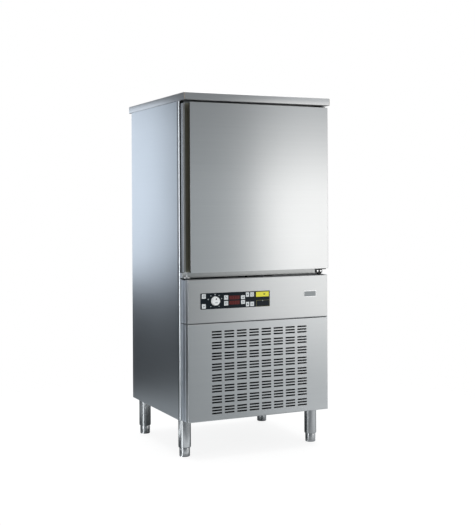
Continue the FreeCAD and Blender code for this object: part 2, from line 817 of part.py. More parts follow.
# the housing behind the opening carries the board, the lamps behind the windows and the encoder
board = on_overlay(
    0, 0, overlay_width, overlay_height, y_panel + sheet, y_panel + sheet + board_thick
)
board = board.cut(on_overlay(0, 0, opening_width, opening_height, y_panel, y_board))
lamps = [
    on_overlay(window_x, row * window_pitch / 2, window_width, window_height, y_panel, y_board + overlap)
    for row in (-1, 1)
]
encoder = rod(encoder_dia, encoder_depth, Vector(knob_at.x, y_panel + sheet + board_thick, knob_at.z), BACK)
save("control_board", fused(board, encoder, *lamps).cut(shaft_bore))

knob = fused(rod(knob_dia, knob_skirt, knob_at, -BACK), rod(knob_top_dia, knob_height, knob_at, -BACK))
index = rod(
    knob_index_dia, knob_index_depth + overlap,
    knob_at + Vector(0, -knob_height - overlap, knob_index_out), BACK,
)
knob_shaft = rod(knob_shaft_dia, y_board + knob_shaft_depth - knob_at.y, knob_at, BACK)
save("selector_knob", fused(knob, knob_shaft).cut(index))


# ------------------------------------------------------------------ door
y_lip, y_step = y_door + grip_lip, y_door_back - door_rear_depth


def door_outline(inset):
    """The door seen from above, with the finger channel in its left edge, drawn in by a skin."""
    x_grip = -x_front + grip_depth
    corners = [
        (x_rear, y_door_back, 0), (x_rear, y_step, 0), (x_front, y_step - door_step, 0),
        (x_front, y_door, door_bend), (-x_front, y_door, door_bend), (-x_front, y_lip, 0),
        (x_grip, y_lip, grip_round), (x_grip, y_step, grip_round), (-x_rear, y_step, 0),
        (-x_rear, y_door_back, 0),
    ]
    face = rounded_face([Vector(x, y, 0) for x, y, _ in corners], [radius for _, _, radius in corners])
    sharp = 2
    return face.makeOffset2D(-inset, sharp) if inset else face


def door_form(inset):
    form = door_outline(inset).extrude(UP * (z_door_top - z_door - 2 * inset))
    form.translate(UP * (z_door + inset))
    return form.removeSplitter()


bush_seats = [
    rod(bush_dia, bush_depth, Vector(hinge_x, hinge_y, z_door)),
    rod(bush_dia, bush_depth, Vector(hinge_x, hinge_y, z_door_top - bush_depth)),
]
door_inside = door_form(sheet)
door_shell = door_form(0).cut([door_inside] + bush_seats)
far = worktop_width
liner_zone = block(
    -far, far, y_door_back - liner_rim, y_door_back + overlap, z_door - overlap, z_door_top + overlap
)
x_deep = grip_depth + 2 * sheet - x_front
z_low, z_high = z_door + sheet, z_door_top - sheet
grip_zone = fused(
    block(2 * bend - x_front, x_deep, y_lip - 2 * sheet, y_step, z_low, z_high),
    block(2 * bend - x_rear, x_deep, (y_lip + y_step) / 2, y_step + 2 * sheet, z_low, z_high),
)
save("door_skin", door_shell.cut([liner_zone, grip_zone]))
save("door_grip", door_shell.common(grip_zone))


def field_form(inset):
    """The pressed field on the door's inside, drawn in by a skin."""
    half = x_chamber - liner_raise_inset - inset
    return window_block(
        -half, half, y_door_back - sheet, y_door_back + liner_raise - inset,
        z_chamber + liner_raise_inset + inset, z_chamber_top - liner_raise_inset - inset,
        liner_corner - inset,
    )


save("door_liner", fused(door_shell.common(liner_zone), field_form(0)).cut(field_form(sheet)))
save("door_foam", fused(door_inside, field_form(sheet)).cut(bush_seats))


def gasket_ring(half, z0, z1, width, y0, y1):
    """A rectangular ring with rounded corners that runs round the chamber mouth."""
    outer = window_block(-half, half, y0, y1, z0, z1, gasket_corner)
    inner = window_block(
        -half + width, half - width, y0 - overlap, y1 + overlap, z0 + width, z1 - width,
        gasket_corner - width / 2,
    )
    return outer.cut(inner)


gasket_half = x_rear - gasket_side_inset
gasket_top, gasket_bottom = z_door_top - gasket_inset, z_door + gasket_inset
inward = (gasket_width - gasket_head) / 2
gasket = fused(
    gasket_ring(
        gasket_half, gasket_bottom, gasket_top, gasket_width,
        y_door_back, y_door_back + gasket_foot,
    ),
    gasket_ring(
        gasket_half - inward, gasket_bottom + inward, gasket_top - inward, gasket_head,
        y_door_back + gasket_foot, y_body - gasket_play,
    ),
)
save("door_gasket", gasket)


def bush(z, out):
    """A flanged plastic bush; out is +1 where its rim lies above the door."""
    rim = rod(bush_rim_dia, bracket_play - bush_rim_play, Vector(hinge_x, hinge_y, z), UP * out)
    body = rod(bush_dia, bush_depth, Vector(hinge_x, hinge_y, z), UP * -out)
    bore = rod(
        pin_dia + 2 * pin_fit, bush_depth + bracket_play + overlap,
        Vector(hinge_x, hinge_y, z + out * (bracket_play + overlap / 2)), UP * -out,
    )
    return fused(rim, body).cut(bore)


save("door_bushes", bush(z_door, -1), bush(z_door_top, 1))


# ------------------------------------------------------------------ hinge brackets
def arm(z, side=1):
    """The flat arm of a bracket, round-ended on the hinge line."""
    half = bracket_width / 2
    x = side * hinge_x
    bar = block(x - half, x + half, hinge_y, y_body, z, z + bracket_thick)
    return fused(bar, rod(bracket_width, bracket_thick, Vector(x, hinge_y, z)))


def leaf(z0, z1, side=1):
    """The upright leaf of a bracket, screwed to the cabinet front."""
    half = bracket_width / 2
    return block(side * hinge_x - half, side * hinge_x + half, y_body - bracket_thick, y_body, z0, z1)


pin_up = rod(pin_dia, bracket_play + pin_reach, Vector(hinge_x, hinge_y, z_lower_arm + bracket_thick))
pin_down = rod(pin_dia, bracket_play + pin_reach, Vector(hinge_x, hinge_y, z_upper_arm), -UP)
lower = fused(arm(z_lower_arm), leaf(z_lower_plate, z_lower_arm + bracket_thick), pin_up)
save("hinge_bracket_lower", lower.cut(shanks))
save("hinge_bracket_upper", fused(arm(z_upper_arm), leaf(z_upper_plate, z_top), pin_down))

# the spare bracket lies the other way up, with an ear, and a dome nut where its pin would be
ear = block(
    -hinge_x - bracket_width / 2, -hinge_x - bracket_width / 2 + bracket_thick,
    y_body - spare_ear, y_body, z_lower_plate, z_lower_plate + lower_plate_height,
)
z_dome = z_lower_plate + bracket_thick
dome = rod(dome_dia, dome_height, Vector(-hinge_x, hinge_y, z_dome))
spare = fused(
    arm(z_lower_plate, -1), leaf(z_lower_plate, z_lower_plate + lower_plate_height, -1), ear, dome
)
save("hinge_bracket_spare", spare.cut(shanks))

# ------------------------------------------------------------------ tray racks
runners = 1 + int((z_chamber_top - z_chamber - first_runner - rack_headroom) / runner_pitch)
x_bar = x_chamber - rack_side_gap
y_bars = (y_body + rack_front, y_cowl - rack_cowl_gap - rack_bar)
z_pegs = (z_chamber + 3 * liner_corner, z_chamber_top - 3 * liner_corner)
rack = []
z_low, z_high = z_chamber + rack_foot_gap, z_chamber_top - rack_foot_gap
for y in y_bars:
    bar = block(x_bar, x_bar + rack_bar, y, y + rack_bar, z_low, z_high)
    pegs = [block(x_bar + rack_bar, x_chamber, y, y + rack_bar, z, z + rack_bar) for z in z_pegs]
    rack.append(fused(bar, *pegs))
for level in range(runners):
    z = z_chamber + first_runner + level * runner_pitch
    rack.append(block(x_bar - runner_width, x_bar, y_bars[0], y_bars[1] + rack_bar, z, z + runner_thick))
save("tray_racks", *rack, *[mirrored(piece) for piece in rack])

# ------------------------------------------------------------------ fan cowl, fans and evaporator
z_cowl_top = z_chamber_top - cowl_gap
cowl = folded(
    [
        (-x_cowl, y_chamber_back), (-x_cowl, y_cowl),
        (x_cowl, y_cowl), (x_cowl, y_chamber_back),
    ],
    z_cowl, z_cowl_top,
)
slot_step = (z_cowl_top - z_cowl) / cowl_slots
side_slots = [
    block(
        -x_cowl - overlap, x_cowl + overlap, y_cowl + (cowl_depth - cowl_slot_depth) / 2,
        y_cowl + (cowl_depth + cowl_slot_depth) / 2,
        z_cowl + (row + 0.5) * slot_step - cowl_slot_height / 2,
        z_cowl + (row + 0.5) * slot_step + cowl_slot_height / 2,
    )
    for row in range(cowl_slots)
]
fan_holes = [rod(fan_hole_dia, 4 * sheet, Vector(0, y_cowl - sheet, z), BACK) for z in fan_heights]
save("fan_panel", cowl.cut(side_slots + fan_holes))


def guard(z):
    """Rings and two crossed bars over a fan's hole."""
    start = Vector(0, y_cowl - guard_bar, z)
    reach = fan_hole_dia / 2 + guard_lap
    parts = [rod(guard_hub_dia, guard_bar, start, BACK)]
    parts.append(block(-reach, reach, y_cowl - guard_bar, y_cowl, z - guard_bar, z + guard_bar))
    parts.append(block(-guard_bar, guard_bar, y_cowl - guard_bar, y_cowl, z - reach, z + reach))
    for number in range(1, guard_rings + 1):
        ring_dia = 2 * reach * number / guard_rings
        ring = flat_sided(ring_dia + 2 * guard_bar, guard_bar, start, BACK, guard_side_count)
        parts.append(ring.cut(flat_sided(ring_dia, guard_bar, start, BACK, guard_side_count)))
    return fused(*parts)


save("fan_guards", *[guard(z) for z in fan_heights])
y_fan = y_cowl + sheet + fan_back
y_spider = y_fan + fan_hub_length + spider_thick
fan_shaft = 2 * spider_thick + fan_shaft_depth


def fan_motor(z):
    """A motor on a cross of bars whose ends reach forward to the cowl."""
    reach = fan_hole_dia / 2 + spider_bar
    half = spider_bar / 2
    parts = [
        rod(fan_motor_dia, fan_motor_length, Vector(0, y_spider + spider_thick, z), BACK),
        block(-reach, reach, y_spider, y_spider + spider_thick, z - half, z + half),
        block(-half, half, y_spider, y_spider + spider_thick, z - reach, z + reach),
    ]
    for side in (-1, 1):
        inner, outer = sorted((side * reach, side * (reach - spider_thick)))
        parts.append(block(inner, outer, y_cowl + sheet, y_spider + spider_thick, z - half, z + half))
        parts.append(block(-half, half, y_cowl + sheet, y_spider + spider_thick, z + inner, z + outer))
    bore_depth = spider_thick + fan_shaft_depth + overlap
    bore = rod(fan_shaft_dia + 2 * pin_fit, bore_depth, Vector(0, y_spider, z), BACK)
    return fused(*parts).cut(bore)


save("fan_motors", *[fan_motor(z) for z in fan_heights])
for name, z in zip(("lower", "upper"), fan_heights):
    save("evaporator_fan_" + name, impeller(fan_dia, fan_hub_dia, fan_hub_length, 0, y_fan, z, fan_shaft))

y_coil_back = y_chamber_back - liner_corner
y_coil = y_coil_back - coil_depth
z_coil, z_coil_top = z_chamber + coil_floor_gap, z_cowl_top - coil_side
coil = comb(
    -x_coil, x_coil, y_coil, y_coil_back, z_coil, z_coil_top,
    coil_fin_pitch, coil_fin_gap, coil_fin_depth,
)
ends_of_coil = [
    block(x, x + coil_side, y_coil, y_chamber_back, z_coil, z_coil_top)
    for x in (-x_coil - coil_side, x_coil)
]
save("evaporator_coil", fused(coil, *ends_of_coil))

drip_back, drip_front = y_drip + drip_depth / 2, y_drip - drip_depth / 2
x_drip = x_coil + drip_side
drip = block(-x_drip, x_drip, drip_front, drip_back, z_chamber, z_chamber + drip_height)
drip_hollow = block(
    -x_drip + sheet, x_drip - sheet, drip_front + sheet, drip_back - sheet,
    z_chamber + sheet, z_chamber + drip_height + overlap,
)
spout_end = Vector(0, y_drip, z_box - drip_spout)
spout_length = z_chamber + sheet - spout_end.z
spout = rod(drain_dia, spout_length, spout_end)
spout_bore = rod(drain_dia - 2 * spout_wall, spout_length + 2 * overlap, spout_end - UP * overlap)
save("drip_tray", drip.cut([drip_hollow, spout]), spout.cut(spout_bore))

# ------------------------------------------------------------------ condenser, shroud and fan
core = comb(
    -x_core, x_core, y_condenser, y_shroud, z_core, z_core_top,
    condenser_fin_pitch, condenser_fin_gap, condenser_fin_depth,
)
core_ends = [
    block(x, x + condenser_side, y_condenser, y_shroud, z_deck, z_core_top)
    for x in (-x_core - condenser_side, x_core)
]
save("condenser_coil", fused(core, *core_ends))

x_shroud = x_core + condenser_side
shroud = block(-x_shroud, x_shroud, y_shroud, y_ring, z_deck, z_core_top)
shroud = shroud.cut(block(
    -x_shroud + shroud_sheet, x_shroud - shroud_sheet, y_shroud - overlap, y_ring - shroud_sheet,
    z_deck + shroud_sheet, z_core_top - shroud_sheet,
))
ring_dia = unit_fan_dia + 2 * unit_fan_play
centre = Vector(0, y_ring - shroud_sheet, z_unit_fan)
ring = rod(ring_dia + 2 * shroud_sheet, shroud_ring + shroud_sheet, centre, BACK)
way = rod(ring_dia, shroud_ring + shroud_sheet + 2 * overlap, centre - BACK * overlap, BACK)
save("fan_shroud", fused(shroud, ring).cut(way))

y_unit_fan = y_ring - shroud_sheet
y_unit_motor = y_unit_fan + unit_fan_hub_length + 2 * spider_thick
save("condenser_fan", impeller(
    unit_fan_dia, unit_fan_hub_dia, unit_fan_hub_length, 0, y_unit_fan, z_unit_fan,
    2 * spider_thick + fan_shaft_depth,
))
motor = rod(unit_motor_dia, unit_motor_length, Vector(0, y_unit_motor, z_unit_fan), BACK)
stand_y = y_unit_motor + unit_motor_length / 2
stand = block(
    -unit_stand_width / 2, unit_stand_width / 2, stand_y, stand_y + unit_stand_thick, z_deck, z_unit_fan
)
stand_foot = block(
    -unit_stand_width / 2, unit_stand_width / 2, stand_y, stand_y + unit_stand_width / 2,
    z_deck, z_deck + unit_stand_thick,
)
bore_start = Vector(0, y_unit_motor - overlap / 2, z_unit_fan)
motor_bore = rod(fan_shaft_dia + 2 * pin_fit, fan_shaft_depth + overlap, bore_start, BACK)
save("condenser_motor", fused(motor, stand, stand_foot).cut(motor_bore))

# ------------------------------------------------------------------ compressor, receiver and pipes
z_plate = z_deck + mount_height
z_can = z_plate + compressor_foot_thick
z_can_top = z_can + compressor_height
can = capped(compressor_dia, z_can, z_can_top, compressor_cap, compressor_x, compressor_y)
foot_plate = rounded_block(
    compressor_x - compressor_foot_x / 2, compressor_x + compressor_foot_x / 2,
    compressor_y - compressor_foot_y / 2, compressor_y + compressor_foot_y / 2,
    z_plate, z_can, mount_dia / 2,
)
top_stub = rod(stub_dia, 2 * stub_length, Vector(compressor_x, compressor_y, z_can_top - stub_length))
z_discharge = z_can + discharge_height
y_front_stub = compressor_y - compressor_dia / 2 - stub_length
front_stub = rod(stub_dia, 2 * stub_length, Vector(compressor_x, y_front_stub, z_discharge), BACK)
mounts = [
    flat_sided(mount_dia, mount_height, Vector(
        compressor_x + side * (compressor_foot_x - mount_dia) / 2,
        compressor_y + end * (compressor_foot_y - mount_dia) / 2, z_deck), UP)
    for side in (-1, 1)
    for end in (-1, 1)
]
save("compressor", fused(can, foot_plate, top_stub, front_stub), *mounts)

z_receiver_top = z_deck + receiver_height
receiver = capped(receiver_dia, z_deck, z_receiver_top, receiver_cap, receiver_x, receiver_y)
z_low_stub = z_deck + receiver_stub_height
x_side_stub = receiver_x - receiver_dia / 2 - stub_length
receiver_stubs = [
    rod(stub_dia, 2 * stub_length, Vector(receiver_x, receiver_y, z_receiver_top - stub_length)),
    rod(stub_dia, 2 * stub_length, Vector(x_side_stub, receiver_y, z_low_stub), RIGHT),
]
save("liquid_receiver", fused(receiver, *receiver_stubs))

y_end = (y_condenser + y_shroud) / 2
x_right, x_left = compressor_x + pipe_loop, receiver_x - pipe_loop
y_turn = y_ring + pipe_clear
discharge = tube(
    [
        Vector(compressor_x, y_front_stub, z_discharge), Vector(compressor_x, y_turn, z_discharge),
        Vector(x_right, y_turn, z_discharge), Vector(x_right, y_end, z_discharge),
        Vector(x_shroud, y_end, z_discharge),
    ],
    pipe_dia, pipe_corner,
)
to_receiver = tube(
    [
        Vector(-x_shroud, y_end, z_low_stub), Vector(x_left, y_end, z_low_stub),
        Vector(x_left, receiver_y, z_low_stub), Vector(x_side_stub, receiver_y, z_low_stub),
    ],
    pipe_dia, pipe_corner,
)
z_stub_end = z_receiver_top + stub_length
z_dryer = (z_stub_end + z_box - dryer_length) / 2
liquid_line = turned(
    [
        (0, z_stub_end), (pipe_dia / 2, z_stub_end), (pipe_dia / 2, z_dryer),
        (dryer_dia / 2, z_dryer + dryer_cone), (dryer_dia / 2, z_dryer + dryer_length - dryer_cone),
        (pipe_dia / 2, z_dryer + dryer_length), (pipe_dia / 2, z_box), (0, z_box),
    ],
    receiver_x, receiver_y,
)
z_suction = z_can_top + stub_length
suction_start = Vector(compressor_x, compressor_y, z_suction)
suction = flat_sided(pipe_dia, z_box - z_suction, suction_start, UP, pipe_side_count)
save("refrigerant_pipes", discharge, to_receiver, liquid_line, suction)

# ------------------------------------------------------------------ electrics
y_ebox = y_panel_back + ebox_from_panel
ebox_right, ebox_foot = x_side - ebox_from_side, z_box - ebox_height
ebox_left = ebox_right - ebox_width
ebox = block(ebox_left, ebox_right, y_ebox, y_ebox + ebox_depth, ebox_foot, z_box)
ebox = broken(ebox, panel_bend, lambda e: at(e, "z", ebox_foot) and not at(e, "y", y_ebox + ebox_depth))
lid_line = block(
    ebox_left - overlap, ebox_right + overlap, y_ebox + ebox_lid, y_ebox + ebox_lid + sheet,
    ebox_foot - overlap, z_box + overlap,
)
lid_line = lid_line.cut(block(
    ebox_left + sheet, ebox_right - sheet, y_ebox, y_ebox + ebox_depth, ebox_foot + sheet, z_box + overlap
))
save("electrical_box", ebox.cut(lid_line))

gland_nut = flat_sided(mains_gland_dia, mains_nut_length, mains_at, BACK)
mains_gland = fused(gland_nut, rod(mains_nose_dia, mains_gland_length, mains_at, BACK)).cut(mains_bore)
probe_gland = rod(
    gland_dia, gland_length,
    Vector(x_chamber - gland_length, (y_bars[0] + y_bars[1]) / 2, z_chamber_top - 2 * liner_corner), RIGHT,
)
save("cable_glands", mains_gland, probe_gland)
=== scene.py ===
"""The blast chiller's looks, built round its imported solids. Metres, in the solids' own frame."""
import json
import math

import bmesh
import bpy
from mathutils import Matrix, Vector


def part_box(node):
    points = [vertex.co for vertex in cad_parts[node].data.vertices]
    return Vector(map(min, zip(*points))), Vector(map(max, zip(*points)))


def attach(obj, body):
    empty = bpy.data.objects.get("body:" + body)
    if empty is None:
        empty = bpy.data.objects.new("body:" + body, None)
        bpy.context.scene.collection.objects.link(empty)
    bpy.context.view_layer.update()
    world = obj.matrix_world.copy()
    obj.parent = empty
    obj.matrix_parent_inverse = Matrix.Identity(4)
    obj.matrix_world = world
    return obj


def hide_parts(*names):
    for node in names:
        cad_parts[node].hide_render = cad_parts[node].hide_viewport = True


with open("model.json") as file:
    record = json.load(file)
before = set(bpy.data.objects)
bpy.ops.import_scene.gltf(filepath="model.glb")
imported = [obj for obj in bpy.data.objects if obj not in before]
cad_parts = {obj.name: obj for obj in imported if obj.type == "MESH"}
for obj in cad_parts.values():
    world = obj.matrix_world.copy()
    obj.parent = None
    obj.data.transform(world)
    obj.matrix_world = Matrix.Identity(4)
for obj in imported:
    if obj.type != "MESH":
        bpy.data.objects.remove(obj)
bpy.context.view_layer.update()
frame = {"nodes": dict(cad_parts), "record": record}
nodes = frame["nodes"]

# ------------------------------------------------------------------ view
# The camera stands at the front left, a little below the middle of the door, as the photograph's
# did. Its level lines fall away to both sides, with a slight roll.
picture_width, picture_height = 475, 525
focal_length = 1002.54          # in the picture's dots, like the two below
optical_x, optical_y = 240.307, 207.58
sensor = 36
view_from = Vector((-2.06847, -4.50590, 1.14008))
azimuth, pitch, roll = -0.4437, 0.0004, -0.0053
behind = Vector((
    math.sin(azimuth) * math.cos(pitch), -math.cos(azimuth) * math.cos(pitch), math.sin(pitch),
))
across = (-behind).cross(Vector((0, 0, 1))).normalized()
upward = across.cross(-behind)
turned_across = across * math.cos(roll) + upward * math.sin(roll)
turned_upward = upward * math.cos(roll) - across * math.sin(roll)
camera = bpy.data.objects.new("camera", bpy.data.cameras.new("camera"))
camera.data.sensor_width = sensor
camera.data.lens = focal_length * sensor / picture_height
camera.data.shift_x = (picture_width / 2 - optical_x) / picture_height
camera.data.shift_y = (optical_y - picture_height / 2) / picture_height
camera.matrix_world = Matrix.Translation(view_from) @ Matrix(
    (turned_across, turned_upward, behind)
).transposed().to_4x4()
bpy.context.scene.collection.objects.link(camera)
bpy.context.scene.camera = camera
bpy.context.scene.view_settings.view_transform = "Standard"


# ------------------------------------------------------------------ studio
# A pale round floor that fades out into a white surround. Two soft lamps at the front right light
# the door, two on the left the side panel, and one hangs overhead. Mirrored in metal, the floor
# shows a painted reflection instead: darker, near black under and beside the cabinet, with painted
# highlights in bright wedges towards three of the legs.
class Value:
    """A number or colour that varies over a surface. Sums and products of it add their nodes."""

    def __init__(self, finish, socket):
        self.finish, self.socket = finish, socket

    def sum_of(self, operation, first, second):
        return self.finish.node("ShaderNodeMath", {"operation": operation}, {0: first, 1: second})

    def __add__(self, other):
        return self.sum_of("ADD", self, other)

    def __radd__(self, other):
        return self.sum_of("ADD", other, self)

    def __sub__(self, other):
        return self.sum_of("SUBTRACT", self, other)

    def __rsub__(self, other):
        return self.sum_of("SUBTRACT", other, self)

    def __mul__(self, other):
        return self.sum_of("MULTIPLY", self, other)

    def __rmul__(self, other):
        return self.sum_of("MULTIPLY", other, self)

    def __lt__(self, other):
        return self.sum_of("LESS_THAN", self, other)

    def __gt__(self, other):
        return self.sum_of("GREATER_THAN", self, other)

    def __abs__(self):
        return self.sum_of("ABSOLUTE", self, 0.0)


class Finish:
    """A surface's nodes. Every node of it comes from the one method."""

    def __init__(self, owner):
        owner.use_nodes = True
        self.owner, self.tree = owner, owner.node_tree
        self.tree.nodes.clear()

    def node(self, kind, settings=None, inputs=None, output=0):
        made = self.tree.nodes.new(kind)
        for key, value in (settings or {}).items():
            if key == "stops":
                ramp = made.color_ramp
                while len(ramp.elements) < len(value):
                    ramp.elements.new(0.5)
                for stop, (place, colour) in zip(ramp.elements, value):
                    stop.position = place
                    stop.color = (*colour, 1.0)
            else:
                setattr(made, key, value)
        for key, value in (inputs or {}).items():
            if isinstance(value, Value):
                self.tree.links.new(value.socket, made.inputs[key])
            elif made.inputs[key].type == "RGBA" and len(value) == 3:
                made.inputs[key].default_value = (*value, 1.0)
            else:
                made.inputs[key].default_value = value
        return Value(self, made.outputs[output]) if made.outputs else made

    def place(self):
        """The surface's own coordinates, in metres."""
        return self.node("ShaderNodeTexCoord", output="Object")

    def xyz(self):
        """The three coordinates as numbers."""
        place = self.place()
        return [self.node("ShaderNodeSeparateXYZ", {}, {0: place}, axis) for axis in range(3)]

    def noise(self, stretch, detail=2.0, roughness=0.5):
        """A soft random pattern with that many spots per metre along each axis."""
        spread = self.node(
            "ShaderNodeVectorMath", {"operation": "MULTIPLY"}, {0: self.place(), 1: stretch})
        return self.node("ShaderNodeTexNoise", {}, {
            "Vector": spread, "Scale": 1.0, "Detail": detail, "Roughness": roughness,
        })

    def blend(self, share, first, second):
        """A colour between two."""
        return self.node("ShaderNodeMix", {"data_type": "RGBA"}, {0: share, 6: first, 7: second}, 2)

    def limit(self, value, low=0.0, high=1.0):
        return self.node("ShaderNodeClamp", {}, {0: value, 1: low, 2: high})

    def bump(self, height, depth, strength=1.0, under=None):
        """A normal that follows a height pattern, depth in metres."""
        inputs = {"Height": height, "Distance": depth, "Strength": strength}
        if under:
            inputs["Normal"] = under
        return self.node("ShaderNodeBump", {}, inputs)

    def surface(self, **inputs):
        """Ends the material in a Principled surface, its inputs by their names."""
        named = {key.replace("_", " "): value for key, value in inputs.items()}
        shade = self.node("ShaderNodeBsdfPrincipled", {}, named)
        self.node("ShaderNodeOutputMaterial", {}, {"Surface": shade})
        return self.owner


def paint(name):
    return Finish(bpy.data.materials.new(name))


def link(name, mesh):
    piece = bpy.data.objects.new(name, mesh)
    bpy.context.scene.collection.objects.link(piece)
    return piece


leg_spots = {
    "front_left": (-0.33, -0.24), "front_right": (0.33, -0.24),
    "rear_left": (-0.33, 0.288), "rear_right": (0.33, 0.288),
}
floor_radius, fade_end, fade_rate = 2.0, 1.85, 1.1
floor_drop = 0.0005             # under the feet, so that nothing flickers
floor_mesh = bmesh.new()
bmesh.ops.create_circle(floor_mesh, cap_ends=True, segments=96, radius=floor_radius)
floor_data = bpy.data.meshes.new("floor")
floor_mesh.to_mesh(floor_data)
floor = link("floor", floor_data)
floor.location.z = -floor_drop
pale = paint("pale_floor")
from_middle = pale.node("ShaderNodeVectorMath", {"operation": "LENGTH"}, {0: pale.place()}, 1)
mirrored = pale.node("ShaderNodeLightPath", output="Is Glossy Ray")
from_below = pale.node("ShaderNodeNewGeometry", output="Backfacing")
floor_tone = pale.blend(pale.noise((0.6, 0.6, 0.6)), (0.15, 0.15, 0.15), (0.17, 0.17, 0.17))
floor_x, floor_y = pale.xyz()[:2]
# Painted reflection of the floor in metal: bands in front, near black under and beside the cabinet.
to_front = pale.limit((-0.15 - floor_y) * 6.0) * pale.limit((floor_y + 1.15) * 6.0)
near = pale.node("ShaderNodeValToRGB", {"stops": [
    (0.25, (0.09, 0.10, 0.105)), (0.45, (0.42, 0.44, 0.45)),
    (0.56, (0.20, 0.21, 0.215)), (0.75, (0.74, 0.76, 0.77)),
]}, {0: floor_x * 0.5 + 0.5})
painted_floor_reflection = pale.blend(to_front, (0.27, 0.29, 0.30), near)
under = pale.limit((0.40 - abs(floor_x)) * 12.0) * pale.limit((floor_y + 0.27) * 12.0)
under = under * pale.limit((1.0 - floor_y) * 6.0)
beside = pale.limit((-0.36 - floor_x) * 12.0) * pale.limit((floor_x + 0.68) * 8.0)
beside = beside * pale.limit((floor_y + 0.35) * 6.0) * pale.limit((0.75 - floor_y) * 6.0)
painted_floor_reflection = pale.blend(pale.limit(under + beside), painted_floor_reflection, (0.03, 0.035, 0.036))
# Painted highlights: bright wedges on the mirrored floor, aimed at three legs, light a line on each.
painted_leg_highlights = {"front_left": (24, 1.0), "rear_left": (38, 0.8), "front_right": (14, 0.25)}
for spot, (turn, share) in painted_leg_highlights.items():
    leg_x, leg_y = leg_spots[spot]
    bearing = pale.node(
        "ShaderNodeMath", {"operation": "ARCTAN2"}, {0: leg_y - floor_y, 1: leg_x - floor_x})
    ray = pale.limit(1.5 - abs(bearing - math.radians(turn)) * 8.0)
    ray = ray * pale.limit((1.0 - abs(floor_x - leg_x)) * 5.0)
    painted_floor_reflection = pale.blend(ray * share, painted_floor_reflection, (2.9, 3.0, 3.05))
floor_data.materials.append(pale.surface(
    Base_Color=pale.blend(mirrored, floor_tone, (0.08, 0.085, 0.09)),
    Emission_Color=pale.blend(mirrored, (0.86, 0.86, 0.86), painted_floor_reflection), Emission_Strength=1.0,
    Roughness=0.6, Specular_IOR_Level=0.1,
    Alpha=pale.limit((fade_end - from_middle) * fade_rate) * (1.0 - from_below),
))

world = bpy.data.worlds.new("surround")
bpy.context.scene.world = world
surround = Finish(world)
heading = surround.node("ShaderNodeTexCoord", output="Generated")
to_right, to_back, to_top = [
    surround.node("ShaderNodeSeparateXYZ", {}, {0: heading}, axis) for axis in range(3)
]
dome = surround.node("ShaderNodeValToRGB", {"stops": [
    (0.0, (0.03, 0.035, 0.04)), (0.47, (0.05, 0.055, 0.06)), (0.53, (0.08, 0.09, 0.10)),
    (0.62, (0.18, 0.19, 0.20)), (0.75, (0.55, 0.56, 0.57)), (1.0, (1.0, 1.0, 1.0)),
]}, {0: to_top * 0.5 + 0.5})
in_front = surround.limit(to_right * 0.4 - to_back * 0.9)
dome = surround.blend(
    in_front * surround.limit(0.95 - abs(to_top + 0.12) * 1.9) * 0.56, dome, (0.88, 0.96, 1.0))
dome = surround.blend(surround.limit((to_right - 0.55) * 4.0) * 0.9, dome, (1.0, 1.0, 1.0))
seen = surround.node("ShaderNodeLightPath", output="Is Camera Ray")
surround.node("ShaderNodeOutputWorld", {}, {0: surround.node("ShaderNodeBackground", {}, {
    0: surround.blend(seen, dome, (1.0, 1.0, 1.0)), 1: 1.0,
})})


def lamp(name, place, aim, width, tall, power, colour):
    """A soft box of that size, aimed at a point."""
    light = bpy.data.lights.new(name, "AREA")
    light.shape, light.size, light.size_y = "RECTANGLE", width, tall
    light.energy, light.color = power, colour
    box = bpy.data.objects.new(name, light)
    box.location = place
    box.rotation_euler = (Vector(aim) - Vector(place)).to_track_quat("-Z", "Y").to_euler()
    box.visible_camera = False
    bpy.context.scene.collection.objects.link(box)


lamp("front_right", (2.25, -3.05, 0.85), (0.2, -0.4, 0.85), 1.9, 1.7, 14.8, (1.0, 0.965, 0.93))
lamp("front_right_high", (2.5, -2.9, 2.35), (0.2, -0.4, 1.4), 1.9, 1.3, 4.5, (0.93, 0.97, 1.0))
lamp("back_left", (-1.45, 3.9, 1.32), (-0.4, 0.0, 1.22), 1.95, 1.64, 12.6, (0.82, 0.90, 1.0))
lamp("left", (-3.27, -1.10, 1.0), (-0.37, -0.29, 1.0), 1.5, 2.0, 30, (0.98, 0.99, 1.0))
lamp("overhead", (0.0, 0.2, 4.2), (0.0, 0.1, 0.5), 3.5, 3.5, 110, (1.0, 1.0, 1.0))


# ------------------------------------------------------------------ worktop
# A pan of brushed stainless steel, folded down round a board and hemmed underneath. Its grain
# runs from side to side, and its corners are closed and dressed smooth.
def steel(
    name, grain=(3.0, 3.0, 420.0), tone=(0.60, 0.605, 0.61), roughness=0.33, wave=0.0, sheen=0.3,
    dark=None,
):
    """Brushed stainless sheet. grain gives its spots per metre; the smallest runs along the lines.
    dark, where given, says how far the colour is darkened at a place: painted shade, and dark seam lines."""
    coat = paint(name)
    fine = coat.noise(grain, 3.0, 0.7)
    broad = coat.noise(tuple(value * 0.12 for value in grain), 2.0, 0.6)
    cloud = coat.noise((2.2, 2.2, 2.2), 2.0, 0.5)
    line = fine * 0.6 + broad * 0.4
    low = tuple(value * 0.93 for value in tone)
    high = tuple(min(1.0, value * 1.06) for value in tone)
    ripple = coat.bump(coat.noise((1.6, 1.6, 1.6), 1.0), wave, 1.0)
    colour = coat.blend(line, low, high)
    # Painted shade: where dark says so, the colour is drawn towards near black.
    if dark:
        colour = coat.blend(coat.limit(dark(*coat.xyz())), colour, (0.02, 0.021, 0.022))
    return coat.surface(
        Base_Color=colour, Metallic=1.0,
        Roughness=coat.limit(line * 0.10 + cloud * 0.06 + (roughness - 0.08), 0.05, 0.8),
        Normal=coat.bump(fine, 0.000004, 0.25, ripple),
        Anisotropic=sheen, Anisotropic_Rotation=0.25,
    )


